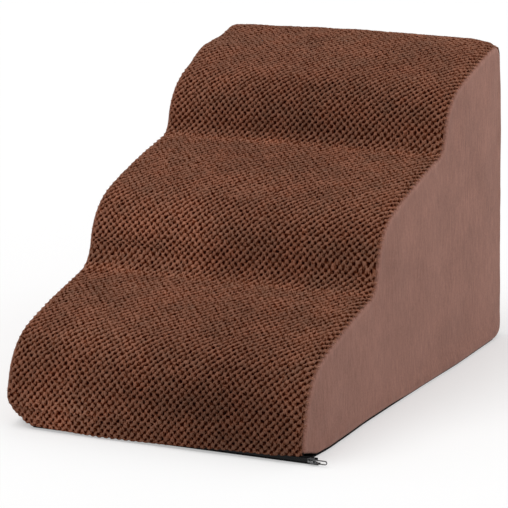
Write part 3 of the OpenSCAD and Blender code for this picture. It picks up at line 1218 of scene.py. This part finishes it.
    def pile(self, first: Array, second: Array, ridge: Array) -> Array:
        """The height of the pile at each point.

        Args:
            first: the first count of the lattice.
            second: the second count of the lattice.
            ridge: how far the kernels run together into ridges.

        Returns:
            The height, from 0 in a pit to about 1.
        """
        size = 512
        table = np.random.default_rng(self.seed).uniform(*self.kernel_uneven, (size, size))
        own = table[np.round(first).astype(int) % size, np.round(second).astype(int) % size]
        wave = (1.0 - ridge) * np.cos(2 * math.pi * first) + ridge * np.cos(2 * math.pi * second)
        return own * smoothstep(*self.kernel_flank, wave)

    def lie(self, across: Array, along: Array, grid: Array) -> tuple[Array, Array]:
        """How much paler or darker the pile is painted: random streaks, patches of painted light and shade,
        and a painted sheen where it is brushed flat behind a tread.

        Args:
            across: the way across the cloth at each point.
            along: the way along the cloth at each point.
            grid: the cloth's points.

        Returns:
            How much paler or darker the pile is, with its painted light and shade, and how far it is brushed
            flat behind a tread.
        """
        tone = np.zeros_like(along)
        for k, (height, cell, squeeze) in enumerate(self.streaks, 6):
            tone += height * Ripple(self.seed + k, cell)(across * squeeze, along)
        # Patches painted paler or darker, which stand in for light and shade.
        for place, way, reach, span, shade in self.lies:
            tone += shade * np.exp(-(((across - place) / reach) ** 2) - ((along - way) / span) ** 2)
        flat = np.zeros_like(along)
        for step in (0, 1):
            stray = self.crease_stray * Ripple(self.seed + 8, 0.04)(across, across)
            middle = along[self.corner_row(grid, step)].mean() - self.crease_back + stray
            flat += np.exp(-(((along - middle) / self.crease_reach) ** 2))
        patchy = 0.7 + 0.3 * Ripple(self.seed + 9, 0.02)(across, along)
        # The band behind each tread is painted paler as sheen on the brushed-flat pile.
        return tone + self.crease_painted_sheen * flat * patchy, flat

    def rise(self, across: Array, along: Array, shown: Array, pile: Array) -> Array:
        """How far the cloth's face lies off its plain form, but for the lift at its side edges.

        Args:
            across: the way across the cloth at each point.
            along: the way along the cloth at each point.
            shown: how much of the pile shows at each point.
            pile: the height of the pile at each point.

        Returns:
            The pile's relief, its fluff, soft waves in the padding and the fuller noses, in metres.
        """
        edge, from_seam = self.from_edges(across, along)
        fluff = np.random.default_rng(self.seed + 2).normal(0.0, self.fluff, shown.shape) * shown
        soft = sum(
            height * Ripple(self.seed + k, cell)(across, along) for k, (height, cell) in enumerate(self.soft)
        )
        calm = smoothstep(0.0, self.calm_reach, edge) * smoothstep(*self.calm_shown, shown)
        full = np.zeros_like(along)
        for place, way, reach, height in self.humps:
            full += height * np.exp(-((across - place) ** 2 + (along - way) ** 2) / reach**2)
        for away, least in zip((edge, from_seam), self.hump_edges):
            full *= smoothstep(0.0, least, away)
        return (pile - 1.0) * self.kernel_h * shown + fluff + soft * calm + full

    def build(self) -> list[Piece]:
        """Makes the strip in three lengths, which meet in the inner corners without a seam.

        Returns:
            The three lengths, the lowest first.
        """
        grid, across, along, shown = self.surface()
        tucked = rested(grid)
        normals = grid_normals(tucked)
        first, second = self.lattice(across, along)
        lie, flat = self.lie(across, along, grid)
        level = smoothstep(*self.steep, normals[..., 2])
        ridge = self.groove_up + (self.groove_flat - self.groove_up) * level
        pile = self.pile(first, second, ridge)
        scallop = np.cos(math.pi * (first - second))
        near_side = 1.0 - smoothstep(0.0, self.edge_reach, self.from_edges(across, along)[0])
        over = self.edge_lift * smoothstep(*self.edge_waves, scallop) * near_side * shown
        points = tucked + normals * (self.rise(across, along, shown, pile) + over)[..., None]
        bright = np.where(along > self.tuft_from, scallop, -1.0)
        shown = shown * (1.0 - self.flattened * flat)
        marks = {"kernel_first": first, "kernel_second": second, "shown": shown, "lie": lie, "ridge": ridge}
        cuts = [0, *(self.corner_row(grid, step) for step in (0, 1)), len(grid) - 1]
        pieces = []
        for label, low, high in zip(("low", "middle", "top"), cuts[:-1], cuts[1:]):
            rows = slice(low, high + 1)
            part = points[rows]
            fibres, walls, looks = self.tufts(part, normals[rows], bright[rows], self.seed + low)
            faces = np.concatenate([grid_faces(*part.shape[:2]), part[..., 0].size + walls])
            own = {mark: np.concatenate([marks[mark][rows].ravel(), looks[mark]]) for mark in marks}
            everything = np.concatenate([part.reshape(-1, 3), fibres])
            pieces.append(build_mesh(f"tread_plush_{label}", everything, faces, own))
        return pieces

    def tufts(
        self, grid: Array, normals: Array, bright: Array, seed: int
    ) -> tuple[Array, Array, dict[str, Array]]:
        """Fibres that stand out over the two side seams, each a closed spike with four sides.

        Args:
            grid: the points of one length of the strip.
            normals: the cloth's normals at those points.
            bright: 1 where most fibres stand, down to -1 where none does.
            seed: the start of the random draws.

        Returns:
            Eight points for each fibre, its faces, and the marks of those points.
        """
        draw = np.random.default_rng(seed)
        rows = draw.integers(0, len(grid) - 1, self.tuft_tries)
        side = draw.choice([-1, 1], self.tuft_tries)
        inset = draw.integers(0, self.tuft_columns, self.tuft_tries)
        column = np.where(side < 0, inset, grid.shape[1] - 1 - inset)
        kept = bright[rows, column] > draw.uniform(0.0, 1.0, self.tuft_tries)
        rows, side, column = rows[kept], side[kept], column[kept]
        count = len(rows)
        root, way = grid[rows, column], unit_rows(grid[rows + 1, column] - grid[rows, column])
        face = normals[rows, np.where(side < 0, self.tuft_face, grid.shape[1] - 1 - self.tuft_face)]
        aim = face * draw.uniform(*self.tuft_rise, (count, 1))
        aim += way * draw.normal(0.0, self.tuft_lean, (count, 1))
        aim[:, 0] += side * draw.uniform(*self.tuft_out, count)
        aim = unit_rows(aim)
        turn = draw.uniform(0.0, math.pi, (count, 1))
        wide = way * np.cos(turn) + np.cross(aim, way) * np.sin(turn)
        reaches = [draw.uniform(*span, count) for span in (self.tuft_left, self.tuft_right)]
        tip = root + aim * np.where(side < 0, *reaches)[:, None]
        root = root - aim * self.tuft_sunk
        deep = np.cross(aim, wide)
        square = [a * wide + b * deep for a, b in ((-1, -1), (1, -1), (1, 1), (-1, 1))]
        half = self.tuft_w / 2
        ends = [root + corner * half for corner in square]
        ends += [tip + corner * half * self.tuft_tip for corner in square]
        sides = ([k, (k + 1) % 4, (k + 1) % 4 + 4, k + 4] for k in range(4))
        walls = np.array([[3, 2, 1, 0], [4, 5, 6, 7], *sides])
        walls = (walls[None] + 8 * np.arange(count)[:, None, None]).reshape(-1, 4)
        most = self.tuft_kernels
        crowns = [np.repeat(draw.integers(-most, most, count).astype(float), 8) for _ in range(2)]
        pale = np.repeat(draw.uniform(*self.tuft_pale, count), 8)
        looks = {"kernel_first": crowns[0], "kernel_second": crowns[1], "lie": pale}
        looks |= {"shown": np.ones(8 * count), "ridge": np.full(8 * count, 0.5)}
        return np.stack(ends, 1).reshape(-1, 3), walls, looks

    def corner_row(self, grid: Array, step: int) -> int:
        """The row of the grid that lies in an inner corner.

        Args:
            grid: the cloth's points.
            step: the number of the tread before the corner.

        Returns:
            The row's number.
        """
        grow = self.nap_gap + self.nap_t + self.crown
        full = self.outline.fullness(0.0)
        corner = self.outline.inner_corner(step, grow + full[step], grow + full[step + 1])
        middle = grid[:, grid.shape[1] // 2]
        away = np.hypot(middle[:, 1] - self.outline.front_y - corner[0], middle[:, 2] - corner[1])
        return int(np.argmin(away))


# Panels


@dataclass
class SidePanels:
    """The two plain side panels, rolled in to their seams and softly filled between them."""

    outline: StairOutline
    face_x: float = 0.195
    roll: float = 0.0048
    crown: float = 0.0018
    grow: float = 0.0009
    bottom: float = 0.0010
    bulge: Span = (0.0010, 0.0020)
    pucker: Span = (0.0005, 0.012)
    wave: Span = (0.0007, 0.06)
    seam_look: float = 0.008
    toe_r: float = 0.016
    toe_rise: tuple[Span, ...] = ((0.310, 0.0011), (0.250, 0.0026), (0.032, 0.0030), (0.019, 0.0070))
    toe_h: float = 0.0115
    toe_turn: float = 0.002
    step: float = 0.0028
    fill: float = 0.0055
    fill_from: float = 0.0155
    insets: tuple[float, ...] = (0.0006, 0.0014, 0.0025, 0.004, 0.006, 0.0085, 0.0125)
    kept: float = 0.97
    seed: int = 31

    def boundary(self, side: Side) -> Array:
        """The seam all round a panel, from the foot over the steps and back along the floor to the toe.

        Args:
            side: the panel's side.

        Returns:
            A closed ring of [depth, height] points.
        """
        x = side.value * SEAM_HALF
        line = joined(self.outline.climb(x, self.grow, self.grow) + self.outline.descent(x, self.grow))
        line[:, 1] = np.maximum(line[:, 1], self.bottom)
        line = np.concatenate([line, self.toe(side), line[:1]])
        return resample(line, round(way_along(line)[-1] / self.step))[:-1]

    def toe(self, side: Side) -> Array:
        """The bottom front corner: rounded at the left, and lifted over the zip at the right.

        Args:
            side: the panel's side.

        Returns:
            Its [depth, height] points, from the floor up.
        """
        front = -self.grow
        if side is Side.LEFT:
            centre = np.array([front + self.toe_r, self.bottom + self.toe_r])
            return arc(centre, self.toe_r, -math.pi / 2, -math.pi, 12)
        centre = np.array([front + self.toe_turn, self.toe_h + self.toe_turn])
        turn = arc(centre, self.toe_turn, -math.pi / 2, -math.pi, 5)
        return np.concatenate([np.array(self.toe_rise), turn])

    @staticmethod
    def distance(points: Array, ring: Array) -> Array:
        """The distance from each point to a closed ring.

        Args:
            points: the points, as depth and height.
            ring: the ring's corners, in order.

        Returns:
            One distance for each point.
        """
        best = np.full(len(points), np.inf)
        for start, edge in zip(ring, np.roll(ring, -1, axis=0) - ring):
            t = np.clip(((points - start) @ edge) / (edge @ edge), 0.0, 1.0)
            away = points - start - t[:, None] * edge
            best = np.minimum(best, np.einsum("ij,ij->i", away, away))
        return np.sqrt(best)

    def layout(self, ring: Array) -> tuple[Array, Array]:
        """Fills a panel's outline with points and triangles.

        Args:
            ring: the seam all round, as depth and height.

        Returns:
            The points as depth and height, and the triangles.
        """
        ahead = unit_rows(np.roll(ring, -1, axis=0) - np.roll(ring, 1, axis=0))
        inward = np.stack([ahead[:, 1], -ahead[:, 0]], 1)
        layers = [ring]
        for inset in self.insets:
            moved = ring + inward * inset
            layers.append(moved[self.distance(moved, ring) > inset * self.kept])
        low, high = ring.min(0), ring.max(0)
        rows = np.arange(low[1], high[1], self.fill * math.sqrt(0.75))
        lines = [np.arange(low[0] + (k % 2) * self.fill / 2, high[0], self.fill) for k in range(len(rows))]
        lines = [np.column_stack([line, np.full(len(line), z)]) for line, z in zip(lines, rows)]
        inner = np.concatenate(lines)
        inside = self.winding(inner, ring) & (self.distance(inner, ring) > self.fill_from)
        layers.append(inner[inside])
        points = np.concatenate(layers)
        border = [list(range(len(ring)))]
        found = delaunay_2d_cdt([Vector(p) for p in points], [], border, 1, 1e-7)
        return np.array([tuple(p) for p in found[0]]), np.array([list(f) for f in found[2]])

    @staticmethod
    def winding(points: Array, ring: Array) -> Array:
        """Whether each point lies inside a closed ring.

        Args:
            points: the points, as depth and height.
            ring: the ring's corners, in order.

        Returns:
            True for each point inside.
        """
        inside = np.zeros(len(points), bool)
        for (x0, y0), (x1, y1) in zip(ring, np.roll(ring, -1, axis=0)):
            crosses = (y0 > points[:, 1]) != (y1 > points[:, 1])
            with np.errstate(divide="ignore", invalid="ignore"):
                at = x0 + (points[:, 1] - y0) * (x1 - x0) / (y1 - y0)
            inside ^= crosses & (points[:, 0] < at)
        return inside

    def build(self, side: Side) -> Piece:
        """Makes one side panel.

        Args:
            side: the panel's side.

        Returns:
            The panel.
        """
        ring = self.boundary(side)
        flat, faces = self.layout(ring)
        depth = self.distance(flat, ring)
        x = SEAM_HALF + (self.face_x - SEAM_HALF) * rolled_in(depth, self.roll)
        x += self.crown * smoothstep(0.0, 0.07, depth)
        bands = (0, self.pucker, pucker_band(depth)), (5, self.wave, smoothstep(0.01, 0.05, depth))
        for k, (height, cell), share in bands:
            x += height * Ripple(self.seed + k + side.value, cell)(*flat.T) * share
        low = (1.0 - smoothstep(0.02, 0.15, flat[:, 1])) * smoothstep(0.005, 0.03, flat[:, 0])
        swell = self.bulge[0] + (self.bulge[1] - self.bulge[0]) * smoothstep(0.05, 0.45, flat[:, 0])
        x += swell * low * smoothstep(0.0, 0.010, depth)
        points = rested(self.outline.placed(side.value * x, flat))
        if side is Side.LEFT:
            faces = faces[:, ::-1]
        name = f"side_suede_{side.name.lower()}"
        return build_mesh(name, points, faces, {"inset": np.clip(depth / self.seam_look, 0.0, 1.0)})


@dataclass
class BackPanel:
    """The plain back panel, from its seam at the top down and round the heel to the base."""

    outline: StairOutline
    grow_edge: float = 0.0009
    grow_face: float = 0.0022
    crown: float = 0.0012
    roll: float = 0.008
    columns: int = 150
    rows: tuple[int, int, int] = (14, 110, 14)
    edge_columns: Span = (0.0007, 0.0015)
    wave: Span = (0.0005, 0.05)
    pucker: Span = (0.0004, 0.012)
    seam_look: float = 0.008
    seed: int = 53

    def build(self) -> Piece:
        """Makes the panel as a grid across the back.

        Returns:
            The panel.
        """
        even = np.linspace(-SEAM_HALF, SEAM_HALF, self.columns + 1)
        extra = np.array(self.edge_columns)
        x = np.sort(np.concatenate([even, even[0] + extra, even[-1] - extra]))
        near = SEAM_HALF - np.abs(x)
        rolled = rolled_in(near, self.roll)
        swell = self.grow_face - self.grow_edge
        columns = []
        for place, share in zip(x, rolled):
            runs = self.outline.descent(place, self.grow_edge + swell * share)
            line = joined([resample(run, count) for run, count in zip(runs, self.rows)])
            columns.append(self.outline.placed(place, line))
        grid = np.stack(columns, 1)
        height = grid[..., 2]
        along = np.cumsum(np.linalg.norm(np.diff(grid, axis=0, prepend=grid[:1]), axis=-1), axis=0)
        near = np.repeat(near[None, :], len(grid), 0)
        up = np.clip(height / self.outline.body_h, 0.0, 1.0)
        rise = self.crown * 4.0 * up * (1.0 - up) * (1.0 - (grid[..., 0] / SEAM_HALF) ** 2)
        bands = (self.wave, smoothstep(0.0, 0.04, near)), (self.pucker, pucker_band(near))
        for k, ((tall, cell), share) in enumerate(bands):
            rise += tall * Ripple(self.seed + k, cell)(grid[..., 0], along) * share
        rise -= swell * rolled[None, :] * (1.0 - smoothstep(0.0, self.roll, along))
        points = grid - grid_normals(grid) * (rise * smoothstep(0.002, 0.02, height))[..., None]
        points[..., 2] = np.maximum(points[..., 2], self.outline.body_z - self.grow_face)
        marks = {"inset": np.clip(np.minimum(near, along) / self.seam_look, 0.0, 1.0)}
        return build_mesh("back_suede", points.reshape(-1, 3), grid_faces(*points.shape[:2]), marks)


@dataclass
class BasePanel:
    """The black non-slip base with its small rubber dots."""

    outline: StairOutline
    half: float = 0.1925
    inset: float = 0.008
    bottom: float = 0.0004
    top: float = 0.0020
    front_r: float = 0.014
    back_r: float = 0.003
    dot_pitch: float = 0.009
    dot_r: float = 0.0017
    dot_row: float = 0.87
    dot_tip: float = 0.75
    dot_z: Span = (0.0001, 0.00008)
    dot_inset: Place = (0.010, 0.008, 0.006)
    bare_corner: Span = (0.016, 0.008)
    dot_sides: int = 8
    edge: float = 0.0006
    side_points: int = 40

    def plan(self, shrink: float) -> Array:
        """The base seen from above, as a closed ring of points.

        Args:
            shrink: how far the ring lies inside the base's edge.

        Returns:
            Its points, as X and Y.
        """
        half = self.half - shrink
        front = self.outline.front_y + self.inset + shrink
        back = self.outline.front_y + float(self.outline.heel_centre[0]) + 0.001 - shrink
        corners = [
            (half, back, self.back_r, 0.0),
            (-half, back, self.back_r, 90.0),
            (-half, front, self.front_r, 180.0),
            (half, front, self.front_r * 0.4, 270.0),
        ]
        turns = []
        for x, y, radius, start in corners:
            radius = max(0.0005, radius - shrink)
            centre = np.array([x - math.copysign(radius, x), y - math.copysign(radius, y)])
            turns.append(arc(centre, radius, math.radians(start), math.radians(start + 90.0), 8))
        ring = []
        for turn, following in zip(turns, turns[1:] + turns[:1]):
            ring += [turn, np.linspace(turn[-1], following[0], self.side_points + 2)[1:-1]]
        return np.concatenate(ring)

    def build(self) -> tuple[Piece, Piece]:
        """Makes the cloth as a thin slab with a rounded edge, and the dots under it.

        Returns:
            The cloth and the dots.
        """
        shrinks = (self.edge * 2, self.edge * 0.5, 0.0)
        heights = (0.0, 0.0, self.edge)
        levels = [(shrink, self.bottom + height) for shrink, height in zip(shrinks, heights)]
        levels += [(shrink, self.top - height) for shrink, height in zip(shrinks[::-1], heights[::-1])]
        plans = [(self.plan(shrink), z) for shrink, z in levels]
        rings = [np.column_stack([plan, np.full(len(plan), z)]) for plan, z in plans]
        return build_rings("base_cloth", rings), self.dots()

    def dots(self) -> Piece:
        """The low rubber dots, in staggered rows.

        Returns:
            All the dots as one piece.
        """
        left, ahead, behind = self.dot_inset
        front = self.outline.front_y + self.inset + ahead
        back = self.outline.front_y + float(self.outline.heel_centre[0]) - behind
        places = []
        for k, y in enumerate(np.arange(front, back, self.dot_pitch * self.dot_row)):
            start = -self.half + left + (k % 2) * self.dot_pitch / 2
            row = np.arange(start, self.half - ahead, self.dot_pitch)
            in_corner = (row < -self.half + self.bare_corner[0]) & (y < front + self.bare_corner[1])
            places += [(x, y, 0.0) for x in row[~in_corner]]
        places = rested(np.array(places))
        sides = self.dot_sides
        turn = np.linspace(0.0, 2 * math.pi, sides, endpoint=False)
        circle = np.stack([np.cos(turn), np.sin(turn)], 1) * self.dot_r
        local = np.concatenate([
            np.column_stack([circle, np.full(sides, self.bottom + self.dot_z[0])]),
            np.column_stack([circle * self.dot_tip, np.full(sides, self.dot_z[1])]),
            np.zeros((1, 3)),
        ])
        top = np.arange(sides)
        turned = (top + 1) % sides
        tip = np.full(sides, 2 * sides)
        low, low_turned = top + sides, turned + sides
        corners = ((top, low, low_turned), (top, low_turned, turned), (low, tip, low_turned))
        one = np.concatenate([np.stack(three, 1) for three in corners])
        points = (local[None] + places[:, None]).reshape(-1, 3)
        faces = (one[None] + len(local) * np.arange(len(places))[:, None, None]).reshape(-1, 3)
        return build_mesh("base_dots", points, faces)


# Core and zip


@dataclass
class FoamBlock:
    """The block of foam inside the cover."""

    outline: StairOutline
    half: float = 0.184
    inside: float = 0.007
    bottom: float = 0.0045
    ease: float = 0.004
    step: float = 0.006

    def build(self) -> Piece:
        """Makes the block a little inside the cover, with its corners eased.

        Returns:
            The block.
        """
        ring = SidePanels(self.outline, grow=-self.inside, step=self.step).boundary(Side.LEFT)
        ring[:, 1] = np.maximum(ring[:, 1], self.bottom)
        eased = ring + unit_rows(ring.mean(0) - ring) * self.ease
        flank = self.half - self.ease
        sections = ((-self.half, eased), (-flank, ring), (flank, ring), (self.half, eased))
        return build_rings("foam_block", [self.outline.placed(*section) for section in sections], flip=True)


def dress_node(name: str, material: bpy.types.Material, bevel: float = 0.0) -> Piece:
    """Gives a CAD node its finish, and eases its edges where bevel is above 0.

    Args:
        name: the node's name.
        material: its finish.
        bevel: the width of its eased edges.

    Returns:
        The node's object.
    """
    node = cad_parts[name]
    node.data.materials.clear()
    node.data.materials.append(material)
    if bevel > 0.0:
        weld = node.modifiers.new("weld", "WELD")
        weld.merge_threshold = 1e-6
        eased = node.modifiers.new("eased", "BEVEL")
        eased.width = bevel
        eased.segments = 2
        eased.limit_method = "ANGLE"
        eased.angle_limit = math.radians(35)
        eased.use_clamp_overlap = True
    return node


# Studio


@dataclass
class Studio:
    """The pale floor, the soft lamps and the camera."""

    image_px: float = 508.0
    focal_px: float = 2464.0
    sensor_mm: float = 36.0
    azimuth: float = math.radians(26.236)
    elevation: float = math.radians(13.006)
    roll: float = math.radians(-0.925)
    distance: float = 3.0485
    pan: Span = (-0.00752, -0.03272)
    target: Place = (0.0, -0.0139, 0.195)
    floor_half: float = 6.0
    sky: float = 0.50
    floor_albedo: float = 0.64
    floor_glow: float = 0.405

    def camera(self) -> None:
        """Places the camera at the photograph's viewing angle."""
        a, e = self.azimuth, self.elevation
        back = Vector((math.sin(a) * math.cos(e), -math.cos(a) * math.cos(e), math.sin(e)))
        right = (-back).cross(Vector((0, 0, 1))).normalized()
        up = right.cross(-back)
        c, s = math.cos(self.roll), math.sin(self.roll)
        right, up = c * right + s * up, -s * right + c * up
        place = Vector(self.target) + back * self.distance + right * self.pan[0] + up * self.pan[1]
        data = bpy.data.cameras.new("camera")
        data.sensor_width = self.sensor_mm
        data.lens = self.focal_px / self.image_px * self.sensor_mm
        data.clip_start, data.clip_end = 0.05, 50.0
        camera = link_object("camera", data)
        turned = Matrix((right, up, back)).transposed().to_4x4()
        camera.matrix_world = Matrix.Translation(place) @ turned
        bpy.context.scene.camera = camera

    def lamp(self, name: str, place: Place, spread: float, strength: float) -> None:
        """Adds a wide, even light that comes from the direction of place.

        Args:
            name: the lamp's name.
            place: where its light comes from.
            spread: how wide the light is, in degrees.
            strength: how strong it is.
        """
        data = bpy.data.lights.new(name, "SUN")
        data.angle, data.energy = math.radians(spread), strength
        lamp = link_object(name, data)
        lamp.location = place
        lamp.rotation_euler = (-Vector(place)).to_track_quat("-Z", "Y").to_euler()

    def seen(self, nodes: Nodes) -> Socket:
        """Whether a ray comes from the camera, a gloss or a glass.

        Args:
            nodes: the nodes of a material or of the world.

        Returns:
            1 where it does and 0 where it doesn't.
        """
        path = nodes.add("LightPath").outputs
        shown = nodes.math("MAXIMUM", path["Is Camera Ray"], path["Is Glossy Ray"])
        return nodes.math("MAXIMUM", shown, path["Is Transmission Ray"])

    def floor(self) -> None:
        """Lays the floor, which is white to the camera but for the object's soft shadow."""
        h = self.floor_half
        points = np.array([[-h, -h, 0.0], [h, -h, 0.0], [h, h, 0.0], [-h, h, 0.0]])
        floor = build_mesh("floor", points, np.array([[0, 1, 2, 3]]))
        material = bpy.data.materials.new("pale_floor")
        n = emptied(material)
        matte = n.add("BsdfDiffuse", {"Color": (self.floor_albedo,) * 3}).outputs[0]
        strength = n.math("MULTIPLY", self.seen(n), self.floor_glow)
        glow = n.add("Emission", {"Color": (1.0, 1.0, 1.0), "Strength": strength})
        both = n.add("AddShader", {0: matte, 1: glow.outputs[0]})
        n.add("OutputMaterial", {"Surface": both.outputs[0]})
        floor.data.materials.append(material)

    def world(self) -> None:
        """Makes the air white to the camera and a soft even light to the rest."""
        world = bpy.data.worlds.new("studio")
        bpy.context.scene.world = world
        n = emptied(world)
        strength = n.span(self.seen(n), 0.0, 1.0, self.sky, 1.0)
        air = n.add("Background", {"Color": (1.0, 1.0, 1.0), "Strength": strength})
        n.add("OutputWorld", {"Surface": air.outputs[0]})

    def build(self) -> None:
        """Sets up the whole studio."""
        self.camera()
        self.floor()
        self.world()
        self.lamp("key", (-1.0, -0.5, 2.7), 50.0, 1.05)
        self.lamp("fill", (2.8, -0.5, 1.6), 80.0, 0.50)
        self.lamp("back", (-0.4, 2.2, 2.0), 60.0, 0.26)
        bpy.context.scene.view_settings.view_transform = "Standard"


# Assembly


def settle(piece: Piece, material: bpy.types.Material, slot: str, *nodes: str) -> Piece:
    """Dresses a piece of the cover and puts it in place of its CAD nodes.

    Args:
        piece: the new piece.
        material: its finish.
        slot: the record's material slot, which is not used.
        nodes: the CAD nodes that it stands for.

    Returns:
        The same piece.
    """
    piece.data.materials.append(material)
    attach(piece, COVER_BODY)
    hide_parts(*nodes)
    LOG.info("%s: %d vertices", piece.name, len(piece.data.vertices))
    return piece


def main() -> None:
    """Builds the pieces in order."""
    logging.basicConfig(level=logging.INFO, format="%(name)s: %(message)s")
    outline = StairOutline()
    Studio().build()
    build_effects()
    plush, suede = PlushFinish().material(), PanelFinish().material()
    for piece in PlushStrip(outline).build():
        settle(piece, plush, "plush", "tread_cover")
    block = settle(FoamBlock(outline).build(), FoamFinish().material(), "foam", "foam_core")
    panels = SidePanels(outline)
    for side in Side:
        piece = panels.build(side)
        settle(piece, suede, "panel_cloth", f"side_panel_{side.name.lower()}")
    back = settle(BackPanel(outline).build(), suede, "panel_cloth", "back_panel")
    cloth, dots = BasePanel(outline).build()
    settle(cloth, WovenFinish("base_weave").material(), "base_cloth", "base_panel")
    rubber = MouldedFinish("rubber_dots", color=(0.02, 0.02, 0.02), roughness=0.6)
    settle(dots, rubber.material(), "base_cloth")
    tape = WovenFinish("tape_weave", threads=2200.0).material()
    teeth = MouldedFinish("nylon_teeth", roughness=0.35).material()
    lacquer = LacquerFinish().material()
    for name in ("zip_tape_upper", "zip_tape_lower"):
        dress_node(name, tape)
    for name in ("zip_teeth_upper", "zip_teeth_lower"):
        dress_node(name, teeth, 0.0001)
    for name in ("zip_top_stops", "zip_bottom_stop", "zip_slider", "zip_pull"):
        dress_node(name, lacquer, 0.00015)


if __name__ == "__main__":
    main()
